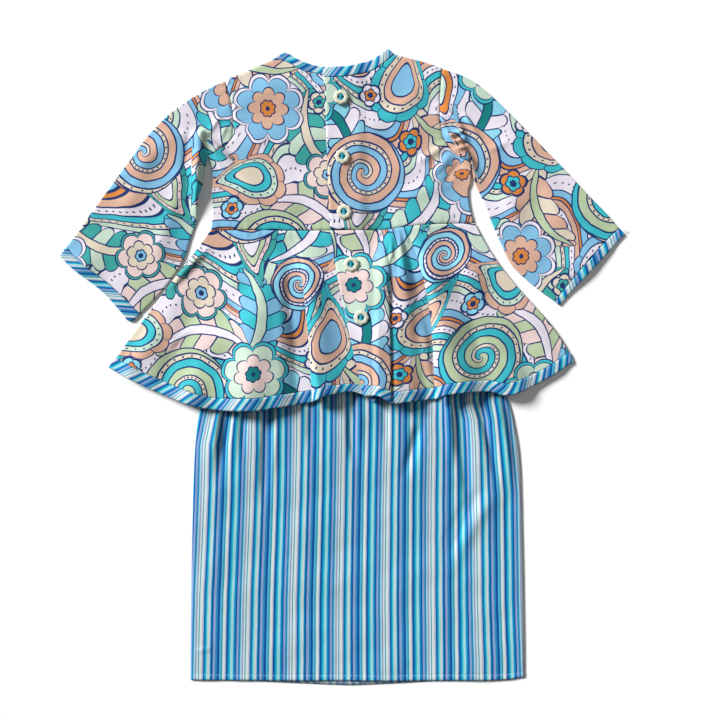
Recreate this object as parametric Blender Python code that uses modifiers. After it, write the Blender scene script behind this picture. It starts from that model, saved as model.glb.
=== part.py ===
"""Child's baju kurung set laid flat, face down: a flared, back-buttoned top over a gathered straight skirt.

Metres, +Z up, +Y towards the neck, origin under the middle of the set on the surface that it lies on.
Every cloth piece is a grid of middle-surface points, worked out from the outlines below and
made a wall with Solidify. Heights add up: the ply's own level, the skirt under it, a soft crown
inside the closed edges, the lap at the back opening, the folds and the creases.
"""

import math

import bmesh
import bpy
import numpy as np

# Driving dimensions
CLOTH = 0.0010            # wall of a cut panel
BINDING = 0.0012          # wall of a folded binding strip
SEAM_GAP = 0.0005         # along the surface, between two pieces sewn together
PLY_GAP = 0.0003          # between two layers that rest on each other
TURN_INSET = 0.0018       # a tube's flat passes stop this far inside its outline
NECK_INSET = 0.0009       # and the neck binding this far short of the shoulder seam
CROWN = 0.0012            # how far the upper layer of the top stands up inside its edges
CROWN_REACH = 0.030       # distance from a closed edge at which the crown is full
SKIRT_CROWN = 0.0005
SKIRT_RISE = 0.0042       # height of the skirt, with its gathers, under the top
SKIRT_SLOPE = 0.040       # width over which the top comes down from the skirt to the floor
LAP_RISE = 0.0017         # the right back lies over the left one by this much
LAP_MARGIN = 0.003
LAP_SLOPE = 0.012
FOLD_STEP = 0.0019        # between the passes of a pressed fold
FOLD_DEPTH = 0.0090       # half swing of a fold at the hem
FOLD_TURN = 0.16          # share of a fold's span that one turn takes
HEM_SEAM = 0.931          # share of the peplum's length at which its binding starts
WAISTBAND_HEIGHT = 0.025

BUTTON_RADIUS = 0.0074
BUTTON_HEIGHT = 0.0028
BUTTON_WELL_RADIUS = 0.0031
BUTTON_WELL_DEPTH = 0.0007
BUTTON_EDGE = 0.0007
BUTTON_HOLE_RADIUS = 0.0008
BUTTON_HOLE_OFFSET = 0.0018
BUTTON_STEPS = 24

# Outlines, as (x, y) points that a smooth curve passes through
SHOULDER_LEFT = [(-0.1179, 0.2877), (-0.0925, 0.2985), (-0.0725, 0.3071)]
SHOULDER_RIGHT = [(0.0520, 0.3135), (0.0785, 0.3066), (0.1000, 0.2998)]
NECK_SEAM_LEFT = [(-0.0725, 0.3071), (-0.0620, 0.3076), (-0.0515, 0.3035), (-0.0395, 0.2965),
                  (-0.0255, 0.2937), (-0.0075, 0.2895), (0.0095, 0.2909)]
NECK_EDGE_LEFT = [(-0.0599, 0.3153), (-0.0535, 0.3135), (-0.0475, 0.3095), (-0.0375, 0.3050),
                  (-0.0245, 0.3010), (-0.0065, 0.2999), (0.0095, 0.3011)]
NECK_SEAM_RIGHT = [(-0.0190, 0.2895), (-0.0045, 0.2893), (0.0085, 0.2908), (0.0215, 0.2935),
                   (0.0325, 0.2977), (0.0405, 0.3040), (0.0520, 0.3135)]
NECK_EDGE_RIGHT = [(-0.0199, 0.2999), (-0.0045, 0.2999), (0.0075, 0.3010), (0.0185, 0.3040),
                   (0.0275, 0.3067), (0.0355, 0.3115), (0.0455, 0.3192)]
NECK_SEAM_FRONT = [(-0.0725, 0.3071), (-0.0585, 0.2805), (-0.0365, 0.2605), (-0.0095, 0.2535),
                   (0.0175, 0.2605), (0.0385, 0.2805), (0.0520, 0.3135)]
NECK_EDGE_FRONT = [(-0.0599, 0.3153), (-0.0495, 0.2885), (-0.0305, 0.2715), (-0.0095, 0.2655),
                   (0.0115, 0.2715), (0.0285, 0.2885), (0.0455, 0.3192)]
ARMHOLE_LEFT = [(-0.1179, 0.2877), (-0.1120, 0.2665), (-0.1093, 0.2445), (-0.1110, 0.2285)]
ARMHOLE_RIGHT = [(0.1000, 0.2998), (0.0983, 0.2765), (0.0978, 0.2485), (0.1010, 0.2285)]
UNDERARM_LEFT = [(-0.1110, 0.2285), (-0.1200, 0.2185), (-0.1345, 0.2115)]
UNDERARM_RIGHT = [(0.1010, 0.2285), (0.1110, 0.2145), (0.1285, 0.2025)]
SIDE_LEFT = [(-0.1345, 0.2115), (-0.1315, 0.2000), (-0.1300, 0.1865), (-0.1315, 0.1715),
             (-0.1305, 0.1545), (-0.1320, 0.1370)]
SIDE_RIGHT = [(0.1285, 0.2025), (0.1290, 0.1855), (0.1265, 0.1765), (0.1275, 0.1615), (0.1305, 0.1495),
              (0.1325, 0.1440)]
WAIST = [(-0.1320, 0.1370), (-0.0500, 0.1365), (0.0300, 0.1368), (0.0585, 0.1397), (0.0855, 0.1425),
         (0.1325, 0.1440)]
PLACKET_EDGE = [(-0.0200, 0.3005), (-0.0175, 0.2665), (-0.0145, 0.1865), (-0.0120, 0.1365),
                (-0.0079, 0.1085), (0.0023, 0.0485), (0.0113, 0.0115), (0.0202, -0.0365)]
UNDERLAP_EDGE = [(0.0095, 0.3015), (0.0105, 0.2665), (0.0125, 0.1865), (0.0145, 0.1365),
                 (0.0185, 0.0985), (0.0255, 0.0485), (0.0295, 0.0115), (0.0335, -0.0365)]
SLEEVE_LEFT_OUTER = [(-0.1179, 0.2877), (-0.1435, 0.2755), (-0.1695, 0.2585), (-0.1945, 0.2340),
                     (-0.2125, 0.2105), (-0.2355, 0.1785), (-0.2535, 0.1545), (-0.2660, 0.1365),
                     (-0.2772, 0.1215)]
SLEEVE_LEFT_INNER = [(-0.1345, 0.2115), (-0.1370, 0.1990), (-0.1385, 0.1860), (-0.1430, 0.1700),
                     (-0.1455, 0.1475), (-0.1525, 0.1265), (-0.1615, 0.1015), (-0.1815, 0.0745),
                     (-0.2026, 0.0525)]
SLEEVE_RIGHT_OUTER = [(0.1000, 0.2998), (0.1255, 0.2908), (0.1465, 0.2760), (0.1655, 0.2580),
                      (0.1845, 0.2385), (0.2035, 0.2190), (0.2265, 0.1955), (0.2485, 0.1715),
                      (0.2655, 0.1545), (0.2785, 0.1395)]
SLEEVE_RIGHT_INNER = [(0.1285, 0.2025), (0.1325, 0.1825), (0.1385, 0.1695), (0.1455, 0.1525),
                      (0.1575, 0.1245), (0.1695, 0.1010), (0.1910, 0.0805), (0.2128, 0.0645)]
CUFF_LEFT_SEAM = [(-0.2772, 0.1215), (-0.2651, 0.1060), (-0.2351, 0.0837), (-0.2026, 0.0525)]
CUFF_LEFT_EDGE = [(-0.2841, 0.1115), (-0.2702, 0.0977), (-0.2415, 0.0755), (-0.2165, 0.0485),
                  (-0.2095, 0.0455)]
CUFF_RIGHT_SEAM = [(0.2785, 0.1395), (0.2651, 0.1265), (0.2504, 0.1100), (0.2325, 0.0895), (0.2128, 0.0645)]
CUFF_RIGHT_EDGE = [(0.2838, 0.1340), (0.2665, 0.1145), (0.2525, 0.0995), (0.2335, 0.0795), (0.2170, 0.0610)]
SKIRT_WAIST = [(-0.0950, 0.0585), (0.1200, 0.0585)]
SKIRT_LEFT = [(-0.0950, 0.0585), (-0.1025, 0.0415), (-0.1225, 0.0045), (-0.1395, -0.0295),
              (-0.1455, -0.0575), (-0.1490, -0.0995), (-0.1510, -0.1775), (-0.1525, -0.2735),
              (-0.1525, -0.3150)]
SKIRT_RIGHT = [(0.1200, 0.0585), (0.1275, 0.0415), (0.1475, 0.0045), (0.1645, -0.0295),
               (0.1725, -0.0575), (0.1782, -0.0995), (0.1805, -0.1775), (0.1822, -0.2735),
               (0.1825, -0.3120)]
SKIRT_HEM_BACK = [(-0.1525, -0.3150), (-0.1000, -0.3154), (0.0000, -0.3158), (0.1000, -0.3156),
                  (0.1600, -0.3150), (0.1825, -0.3120)]
SKIRT_HEM_FRONT = [(-0.1525, -0.3150), (-0.1075, -0.3156), (-0.0100, -0.3198), (0.0200, -0.3200),
                   (0.1085, -0.3155), (0.1825, -0.3120)]
BUTTON_CENTRES = [(-0.0015, 0.2692), (-0.0001, 0.2101), (0.0017, 0.1547), (0.0087, 0.1016), (0.0187, 0.0485)]

# Peplum stations: lines that run from waist to hem. kind is the span to the next station.
# columns: waist (x, y), upper third, lower third, hem, rise at the hem, kind, steps, fold start
BACK_LEFT_STATIONS = [
    ((-0.1320, 0.1370), (-0.1675, 0.0895), (-0.2015, 0.0445), (-0.2339, -0.0015), 0, "plain", 3, 0),
    ((-0.1145, 0.1370), (-0.1355, 0.0825), (-0.1635, 0.0305), (-0.1925, -0.0225), 0, "plain", 3, 0),
    ((-0.0965, 0.1370), (-0.1055, 0.0765), (-0.1225, 0.0165), (-0.1415, -0.0411), 0, "plain", 3, 0),
    ((-0.0785, 0.1365), (-0.0805, 0.0765), (-0.0845, 0.0165), (-0.0925, -0.0443), 0, "plain", 3, 0),
    ((-0.0585, 0.1365), (-0.0435, 0.0745), (-0.0355, 0.0195), (-0.0305, -0.0355), 0, "fold", 1, 0.20),
    ((-0.0485, 0.1365), (-0.0315, 0.0765), (-0.0225, 0.0195), (-0.0185, -0.0321), 2, "plain", 3, 0),
    ((-0.0165, 0.1365), (-0.0075, 0.0765), (0.0035, 0.0195), (0.0115, -0.0270), 0, "plain", 2, 0),
    ((0.0145, 0.1365), (0.0215, 0.0765), (0.0285, 0.0195), (0.0335, -0.0305), 0, "end", 0, 0),
]
BACK_RIGHT_STATIONS = [
    ((-0.0120, 0.1365), (-0.0025, 0.0765), (0.0095, 0.0195), (0.0202, -0.0365), 0, "plain", 2, 0),
    ((0.0260, 0.1368), (0.0265, 0.0765), (0.0275, 0.0195), (0.0285, -0.0365), 0.4, "plain", 2, 0),
    ((0.0455, 0.1377), (0.0385, 0.0765), (0.0365, 0.0195), (0.0365, -0.0365), 2, "fold", 1, 0.15),
    ((0.0545, 0.1390), (0.0515, 0.0765), (0.0495, 0.0195), (0.0485, -0.0365), 0, "plain", 3, 0),
    ((0.0585, 0.1397), (0.0795, 0.0765), (0.0885, 0.0215), (0.0915, -0.0325), 0, "fold", 1, 0.00),
    ((0.0685, 0.1409), (0.0915, 0.0785), (0.1005, 0.0235), (0.1035, -0.0280), 2, "plain", 3, 0),
    ((0.0935, 0.1427), (0.1195, 0.0825), (0.1355, 0.0285), (0.1435, -0.0250), 0, "plain", 2, 0),
    ((0.1135, 0.1435), (0.1435, 0.0845), (0.1605, 0.0285), (0.1675, -0.0285), 0, "plain", 3, 0),
    ((0.1235, 0.1438), (0.1625, 0.0875), (0.1865, 0.0355), (0.2015, -0.0140), 0, "plain", 2, 0),
    ((0.1325, 0.1440), (0.1690, 0.0870), (0.2055, 0.0460), (0.2308, 0.0042), 0, "end", 0, 0),
]
FRONT_STATIONS = [
    ((-0.1320, 0.1370), (-0.1675, 0.0895), (-0.2015, 0.0445), (-0.2339, -0.0015), 0, "plain", 4, 0),
    ((-0.0950, 0.1370), (-0.1055, 0.0785), (-0.1220, 0.0190), (-0.1415, -0.0375), 0, "plain", 4, 0),
    ((-0.0450, 0.1365), (-0.0500, 0.0785), (-0.0500, 0.0215), (-0.0500, -0.0305), 0, "plain", 4, 0),
    ((0.0150, 0.1365), (0.0150, 0.0785), (0.0150, 0.0255), (0.0150, -0.0215), 0, "plain", 4, 0),
    ((0.0585, 0.1397), (0.0800, 0.0795), (0.0950, 0.0255), (0.1000, -0.0225), 0, "plain", 4, 0),
    ((0.0985, 0.1430), (0.1320, 0.0845), (0.1530, 0.0305), (0.1650, -0.0215), 0, "plain", 3, 0),
    ((0.1325, 0.1440), (0.1690, 0.0870), (0.2055, 0.0460), (0.2308, 0.0042), 0, "end", 0, 0),
]
PEPLUM_ROWS = 10
ARMHOLE_STEPS = 7
UNDERARM_STEPS = 3
SLEEVE_STEPS = 10
FOLD_STOPS = (0.09, 0.17, 0.21, 0.25, 0.29, 0.33, 0.50, 0.67, 0.71, 0.75, 0.79, 0.83, 0.91, 1.0)

# Creases: start (x, y), end (x, y), sideways bow, half width, height, how far the start is held up
TOP_CREASES = [
    ((-0.1435, 0.2275), (-0.1450, 0.1600), 0.0015, 0.0060, 0.0026, 0.0),
    ((-0.1370, 0.2280), (-0.1110, 0.2130), 0.0010, 0.0045, 0.0014, 0.0),
    ((0.1130, 0.2500), (0.1400, 0.1880), 0.0040, 0.0065, 0.0024, 0.0),
    ((-0.1385, 0.1145), (-0.1755, 0.0745), 0.0020, 0.0060, 0.0012, 0.0),
    ((-0.1790, 0.0200), (-0.1480, 0.0420), 0.0000, 0.0040, 0.0006, 0.0),
]
SKIRT_CREASES = [
    ((-0.0860, 0.0585), (-0.1120, -0.0820), 0.0030, 0.0070, 0.0009, 1.0),
    ((-0.0640, 0.0585), (-0.0850, -0.0700), 0.0020, 0.0060, 0.0007, 1.0),
    ((-0.0420, 0.0585), (-0.0600, -0.0980), 0.0020, 0.0065, 0.0009, 1.0),
    ((-0.0200, 0.0585), (-0.0240, -0.0620), 0.0010, 0.0060, 0.0007, 1.0),
    ((0.0020, 0.0585), (-0.0010, -0.0800), 0.0010, 0.0065, 0.0009, 1.0),
    ((0.0240, 0.0585), (0.0250, -0.0850), 0.0010, 0.0060, 0.0008, 1.0),
    ((0.0460, 0.0585), (0.0520, -0.0720), 0.0010, 0.0060, 0.0007, 1.0),
    ((0.0680, 0.0585), (0.0800, -0.0900), 0.0020, 0.0065, 0.0009, 1.0),
    ((0.0880, 0.0585), (0.1090, -0.1000), 0.0020, 0.0070, 0.0009, 1.0),
    ((0.1080, 0.0585), (0.1420, -0.0900), 0.0030, 0.0065, 0.0009, 1.0),
    ((0.1545, -0.1300), (0.1060, -0.2140), 0.0050, 0.0070, 0.0009, 0.0),
]

PRINT_COLOUR = (0.66, 0.78, 0.76, 1.0)
STRIPE_COLOUR = (0.22, 0.50, 0.70, 1.0)
BUTTON_COLOUR = (0.86, 0.87, 0.80, 1.0)
CLOTH_ROUGHNESS = 0.85
BUTTON_ROUGHNESS = 0.30

COLLECTION = "baju_kurung_set"
CUTTERS = "cutters"


# Curves and patches

def smooth(x):
    """0 below 0, 1 above 1 and a soft S between: 3x^2 - 2x^3."""
    x = np.clip(x, 0.0, 1.0)
    return x * x * (3.0 - 2.0 * x)


def dense(points, steps=16):
    """Many points along the Catmull-Rom curve through the given ones."""
    p = np.asarray(points, float)
    p = np.vstack([2 * p[0] - p[1], p, 2 * p[-1] - p[-2]])
    a, b, c, d = p[:-3, None], p[1:-2, None], p[2:-1, None], p[3:, None]
    t = np.linspace(0.0, 1.0, steps, endpoint=False)[None, :, None]
    curve = 0.5 * (2 * b + (c - a) * t + (2 * a - 5 * b + 4 * c - d) * t ** 2 + (3 * b - a - 3 * c + d) * t ** 3)
    return np.vstack([curve.reshape(-1, 2), p[-2]])


def along(points, s):
    """Points at the shares s of the length of the smooth curve through the given points."""
    curve = dense(points)
    length = np.concatenate([[0.0], np.cumsum(np.linalg.norm(np.diff(curve, axis=0), axis=1))])
    at = np.asarray(s, float) * length[-1]
    return np.stack([np.interp(at, length, curve[:, 0]), np.interp(at, length, curve[:, 1])], axis=-1)


def chain(*pieces):
    """Points along several curves end to end, from (points, steps) pairs; corners stay sharp."""
    runs = [along(points, np.linspace(0, 1, steps + 1)) for points, steps in pieces]
    return np.vstack([runs[0]] + [run[1:] for run in runs[1:]])


def x_at(points, y):
    """The x of a curve that runs down the garment, at the heights y."""
    curve = dense(points)[::-1]
    return np.interp(y, curve[:, 1], curve[:, 0])


def waist_y(x):
    """The waist seam's y at x."""
    curve = dense(WAIST)
    return np.interp(x, curve[:, 0], curve[:, 1])


def patch(top, bottom, left, right):
    """Coons patch, rows from top to bottom: the two ruled surfaces of the edges less their corners."""
    u = np.linspace(0, 1, len(top))[None, :, None]
    v = np.linspace(0, 1, len(left))[:, None, None]
    ruled = (1 - v) * top[None] + v * bottom[None] + (1 - u) * left[:, None] + u * right[:, None]
    corners = ((1 - v) * ((1 - u) * top[0] + u * top[-1]) + v * ((1 - u) * bottom[0] + u * bottom[-1]))
    return ruled - corners


# Heights

def distance(xy, line):
    """Distance of each point to a polyline."""
    a, b = line[:-1], line[1:]
    ab = b - a
    to = xy[..., None, :] - a
    t = np.clip((to * ab).sum(-1) / (ab * ab).sum(-1), 0, 1)
    return np.linalg.norm(to - t[..., None] * ab, axis=-1).min(-1)


def crown(xy):
    """Soft rise of the top's upper layer, 0 along the edges where front and back are one or are sewn."""
    sides = [[row[0][0:2], row[1], row[2], row[3]] for row in (BACK_LEFT_STATIONS[0], BACK_RIGHT_STATIONS[-1])]
    closed = [SHOULDER_LEFT + [NECK_EDGE_LEFT[0]], [NECK_EDGE_RIGHT[-1]] + SHOULDER_RIGHT, SLEEVE_LEFT_OUTER,
              SLEEVE_LEFT_INNER, SLEEVE_RIGHT_OUTER, SLEEVE_RIGHT_INNER, UNDERARM_LEFT, UNDERARM_RIGHT,
              SIDE_LEFT, SIDE_RIGHT] + sides
    near = np.min([distance(xy, dense(line, 4)) for line in closed], axis=0)
    return CROWN * smooth(near / CROWN_REACH)


def over_skirt(xy):
    """Height of the skirt under the top: full inside its outline, down to 0 over SKIRT_SLOPE outside."""
    x, y = xy[..., 0], xy[..., 1]
    top = SKIRT_WAIST[0][1] + WAISTBAND_HEIGHT + SEAM_GAP
    beside = np.maximum(np.maximum(x_at(SKIRT_LEFT, y) - x, x - x_at(SKIRT_RIGHT, y)), 0)
    above = np.maximum(y - top, 0)
    return SKIRT_RISE * smooth(1 - np.hypot(beside, above) / SKIRT_SLOPE)


def lap(xy):
    """Rise of the right back over the left one's edge, down to 0 beyond it."""
    y = xy[..., 1]
    past = xy[..., 0] - x_at(UNDERLAP_EDGE, y) - LAP_MARGIN
    return LAP_RISE * (1 - smooth(past / LAP_SLOPE))


def creases(xy, table):
    """Sum of soft ridges: a bell across each crease, fading out at its ends."""
    total = np.zeros(xy.shape[:-1])
    for start, end, bow, width, height, held in table:
        start, end = np.array(start), np.array(end)
        run = end - start
        length = np.hypot(*run)
        to = xy - start
        s = (to @ run) / length ** 2
        side = (to[..., 0] * run[1] - to[..., 1] * run[0]) / length
        bell = np.exp(-((side - bow * 4 * s * (1 - s)) / width) ** 2)
        ends = np.maximum(smooth(s / 0.3), held * (s < 0.3)) * smooth((1 - s) / 0.45)
        total += height * bell * ends
    return total


def upper_level(wall):
    """Middle height of an upper ply that rests on a lower one of the same wall."""
    return 1.5 * wall + PLY_GAP


def top_heights(xy, wall=CLOTH, lapped=False):
    """Middle height of the top's upper layer, without the folds."""
    z = upper_level(wall) + over_skirt(xy) + crown(xy) + creases(xy, TOP_CREASES)
    return z + lap(xy) if lapped else z


def lower_heights(xy, wall=CLOTH):
    """Middle height of the top's lower layer."""
    return wall / 2 + over_skirt(xy)


def raised(xy, z):
    """(x, y) points and their heights as (x, y, z)."""
    return np.concatenate([xy, np.broadcast_to(z, xy.shape[:-1])[..., None]], axis=-1)


# Peplum

def peplum(stations, t):
    """(x, y) points and fold heights of a peplum panel; one row for each share t of the way down.

    A plain span follows a smooth curve through the stations. A fold span is x + D sin(2 pi q), which
    swings back under or over itself, while the height steps twice, at a quarter and at three quarters.
    """
    net = np.array([row[:4] for row in stations], float)
    t = np.concatenate([[0.0], t])[:, None, None]
    weights = [(t - b) * (t - c) * (t - d) / ((a - b) * (a - c) * (a - d))
               for a, b, c, d in ((0, 1/3, 2/3, 1), (1/3, 0, 2/3, 1), (2/3, 0, 1/3, 1), (1, 0, 1/3, 2/3))]
    lines = sum(weight * net[None, :, i] for i, weight in enumerate(weights))
    points, heights = [lines[:, :1]], [np.full(lines.shape[:1] + (1,), stations[0][4] * FOLD_STEP)]
    t = t[:, :, 0]
    for k, (*_, rise, kind, steps, start) in enumerate(stations[:-1]):
        a, b = lines[:, k:k + 1], lines[:, k + 1:k + 2]
        before = lines[:, k - 1:k] if k else 2 * a - b
        after = lines[:, k + 2:k + 3] if k + 2 < len(stations) else 2 * b - a
        next_rise = stations[k + 1][4]
        if kind == "fold":
            q = np.array(FOLD_STOPS)[None, :]
            way = (b - a) / np.linalg.norm(b - a, axis=-1, keepdims=True)
            swing = FOLD_DEPTH * np.clip((t - start) / (1 - start), 0, 1) * np.sin(2 * math.pi * q)
            points.append(a + (b - a) * q[..., None] + way * swing[..., None])
            step = (smooth((q - 0.25) / FOLD_TURN + 0.5) + smooth((q - 0.75) / FOLD_TURN + 0.5)) / 2
        else:
            q = np.linspace(0, 1, steps + 1)[None, 1:]
            w = q[..., None]
            points.append(0.5 * (2 * a + (b - before) * w + (2 * before - 5 * a + 4 * b - after) * w ** 2
                                 + (3 * a - before - 3 * b + after) * w ** 3))
            step = smooth(q)
        heights.append(FOLD_STEP * (rise + (next_rise - rise) * step) * np.ones_like(t))
    starts = [row[7] for row in stations if row[5] == "fold"]
    ramp = smooth(t / (min(starts, default=0) + 0.20))
    points, heights = np.concatenate(points, axis=1), np.concatenate(heights, axis=1) * ramp
    points[..., 1] += (waist_y(points[0, :, 0]) - points[0, :, 1]) * (1 - t)
    return points[1:], heights[1:]


def turned(upper, lower, count=3):
    """Columns that carry a wall round a folded edge, from an upper column to the lower one under it.

    upper and lower are (rows, 2 columns, 3): the second last and last column before the turn, and the
    first after it. They lie on a half circle that stands out from the edge.
    """
    edge, inner, under = upper[:, 1], upper[:, 0], lower
    out = edge[:, :2] - inner[:, :2]
    out /= np.linalg.norm(out, axis=-1, keepdims=True)
    radius = (edge[:, 2] - under[:, 2]) / 2
    columns = []
    for angle in np.linspace(0, math.pi, count + 2)[1:-1]:
        flat = (edge[:, :2] + under[:, :2]) / 2 + out * (radius * math.sin(angle))[:, None]
        columns.append(raised(flat, edge[:, 2] - radius * (1 - math.cos(angle))))
    return np.stack(columns, axis=1)


def finer(points, times):
    """The same grid with straight steps put in between its rows and columns."""
    for _ in range(2):
        n = len(points)
        at = np.linspace(0, n - 1, (n - 1) * times + 1)
        low = np.minimum(at.astype(int), n - 2)
        share = (at - low)[:, None, None]
        points = (points[low] * (1 - share) + points[low + 1] * share).swapaxes(0, 1)
    return points


# Objects

def collection(name):
    """A new collection in the scene."""
    made = bpy.data.collections.new(name)
    bpy.context.scene.collection.children.link(made)
    return made


def material(name, colour, roughness):
    """A plain Principled material."""
    made = bpy.data.materials.new(name)
    made.use_nodes = True
    made.diffuse_color = colour
    shader = made.node_tree.nodes["Principled BSDF"]
    shader.inputs["Base Color"].default_value = colour
    shader.inputs["Roughness"].default_value = roughness
    shader.inputs["Metallic"].default_value = 0.0
    return made


def cloth(parts, name, points, wall, colour, ring=False):
    """A cloth piece: its middle surface as a grid of (rows, columns, 3) points, with Solidify for the wall."""
    rows, columns = points.shape[:2]
    index = np.arange(rows * columns).reshape(rows, columns)
    if ring:
        index = np.concatenate([index, index[:, :1]], axis=1)
    quads = np.stack([index[:-1, :-1], index[1:, :-1], index[1:, 1:], index[:-1, 1:]], axis=-1).reshape(-1, 4)
    mesh = bpy.data.meshes.new(name)
    mesh.from_pydata(points.reshape(-1, 3).tolist(), [], quads.tolist())
    mesh.shade_smooth()
    mesh.materials.append(material(name, colour, CLOTH_ROUGHNESS))
    piece = bpy.data.objects.new(name, mesh)
    parts.objects.link(piece)
    shell = piece.modifiers.new("wall", "SOLIDIFY")
    shell.thickness = wall
    shell.offset = 0.0
    shell.use_quality_normals = True
    return piece


def stepped_off(row, next_row, gap=SEAM_GAP):
    """A row of points moved towards the next row until it is the gap clear of the line that it lay on."""
    step = next_row - row
    length = np.linalg.norm(step, axis=-1)
    run = np.gradient(row, axis=0)
    across = np.abs(run[:, 0] * step[:, 1] - run[:, 1] * step[:, 0]) / (np.linalg.norm(run, axis=-1) * length)
    return row + step * (gap / (length * np.maximum(across, 0.5)))[:, None]


def tube(start, end, outer, inner, wall):
    """A flattened tube between four edges, as rings: upper pass, inner turn, lower pass, outer turn."""
    flat = patch(start, end, outer, inner)
    gap = np.full(len(start), SEAM_GAP)
    gap[-1] += SEAM_GAP / 2
    flat[0] = stepped_off(flat[0], flat[1], gap)
    for edge, beside in ((0, 1), (-1, -2)):
        flat[:, edge] = stepped_off(flat[:, edge], flat[:, beside], TURN_INSET)
    upper = raised(flat, top_heights(flat, wall))
    lower = raised(flat, lower_heights(flat, wall))[:, ::-1]
    round_inner = turned(upper[:, -2:], lower[:, 0])
    round_outer = turned(upper[:, 1::-1], lower[:, -1])[:, ::-1]
    return np.concatenate([upper, round_inner, lower, round_outer], axis=1)


def band(seam, edge, s, heights, ends):
    """A binding strip of two rows, from just past the seam to the finished edge, short at the given ends."""
    inside, outside = along(seam, s), along(edge, s)
    gap = np.full(len(s), SEAM_GAP)
    gap[[end for end, _ in ends]] += NECK_INSET
    flat = np.stack([stepped_off(inside, outside, gap), (inside + outside) / 2, outside])
    for end, beside in ends:
        flat[:, end] = stepped_off(flat[:, end], flat[:, beside], NECK_INSET)
    return raised(flat, heights(flat))


# The pieces

def make_bodice(parts):
    """Front and back of the bodice, between the shoulders, the armholes, the side seams and the waist."""
    left = chain((ARMHOLE_LEFT, ARMHOLE_STEPS), (UNDERARM_LEFT, UNDERARM_STEPS), (SIDE_LEFT, 4))
    right = chain((ARMHOLE_RIGHT, ARMHOLE_STEPS), (UNDERARM_RIGHT, UNDERARM_STEPS), (SIDE_RIGHT, 4))
    rows = len(left)

    def waist(x_from, x_to, count):
        x = np.linspace(x_from, x_to, count)
        return np.stack([x, waist_y(x)], axis=-1)

    top = chain((SHOULDER_LEFT, 3), (NECK_SEAM_FRONT, 8), (SHOULDER_RIGHT, 3))
    flat = patch(top, waist(left[-1, 0], right[-1, 0], len(top)), left, right)
    cloth(parts, "front_bodice", raised(flat, lower_heights(flat)), CLOTH, PRINT_COLOUR)

    top = chain((SHOULDER_LEFT, 3), (NECK_SEAM_LEFT, 8))
    y = np.linspace(top[-1, 1], waist_y(UNDERLAP_EDGE[3][0]), rows)
    free = np.stack([x_at(UNDERLAP_EDGE, y), y], axis=-1)
    top[-1], free[0] = free[0], free[0]
    flat = patch(top, waist(left[-1, 0], free[-1, 0], len(top)), left, free)
    cloth(parts, "back_bodice_left", raised(flat, top_heights(flat)), CLOTH, PRINT_COLOUR)

    top = chain((NECK_SEAM_RIGHT, 8), (SHOULDER_RIGHT, 3))
    y = np.linspace(top[0, 1], waist_y(PLACKET_EDGE[3][0]), rows)
    free = np.stack([x_at(PLACKET_EDGE, y), y], axis=-1)
    top[0] = free[0]
    flat = patch(top, waist(free[-1, 0], right[-1, 0], len(top)), free, right)
    upper = raised(flat, top_heights(flat, lapped=True))
    cloth(parts, "back_bodice_right", upper, CLOTH, PRINT_COLOUR)
    return upper


def make_peplum(parts):
    """Front and back of the peplum and the one binding strip round its hem; returns the right back's points."""
    first = SEAM_GAP / 0.170
    body = np.linspace(first, HEM_SEAM, PEPLUM_ROWS + 1)
    edge = np.array([HEM_SEAM + SEAM_GAP / 0.170, (1 + HEM_SEAM) / 2, 1.0])

    flat, _ = peplum(FRONT_STATIONS, body)
    cloth(parts, "front_peplum", raised(flat, lower_heights(flat)), CLOTH, PRINT_COLOUR)
    flat, folds = peplum(BACK_LEFT_STATIONS, body)
    cloth(parts, "back_peplum_left", raised(flat, top_heights(flat) + folds), CLOTH, PRINT_COLOUR)
    flat, folds = peplum(BACK_RIGHT_STATIONS, body)
    upper = raised(flat, top_heights(flat, lapped=True) + folds)
    cloth(parts, "back_peplum_right", upper, CLOTH, PRINT_COLOUR)

    flat, folds = peplum(BACK_LEFT_STATIONS, edge)
    back_left = raised(flat, top_heights(flat, BINDING) + folds)[:, ::-1]
    flat, folds = peplum(BACK_RIGHT_STATIONS, edge)
    back_right = raised(flat, top_heights(flat, BINDING, lapped=True) + folds)[:, ::-1]
    flat, _ = peplum(FRONT_STATIONS, edge)
    front = raised(flat, lower_heights(flat, BINDING))
    round_left = turned(back_left[:, -2:], front[:, 0])
    round_right = turned(back_right[:, 1::-1], front[:, -1])[:, ::-1]
    strip = np.concatenate([back_left, round_left, front, round_right, back_right], axis=1)
    cloth(parts, "hem_binding", strip, BINDING, STRIPE_COLOUR)
    return upper


def make_neck_binding(parts):
    """The strip round the neck: back left, over the shoulder, round the lower front, and back right."""
    def upper(flat):
        return top_heights(flat, BINDING)

    def lapped(flat):
        return top_heights(flat, BINDING, lapped=True)

    def lower(flat):
        return lower_heights(flat, BINDING)

    steps = np.linspace(0, 1, 9)
    left = band(NECK_SEAM_LEFT, NECK_EDGE_LEFT, steps[::-1], upper, [(-1, -2)])
    front = band(NECK_SEAM_FRONT, NECK_EDGE_FRONT, steps, lower, [(0, 1), (-1, -2)])
    right = band(NECK_SEAM_RIGHT, NECK_EDGE_RIGHT, steps[::-1], lapped, [(0, 1)])
    round_left = turned(left[:, -2:], front[:, 0])
    round_right = turned(right[:, 1::-1], front[:, -1])[:, ::-1]
    strip = np.concatenate([left, round_left, front, round_right, right], axis=1)
    cloth(parts, "neck_binding", strip, BINDING, STRIPE_COLOUR)


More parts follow.
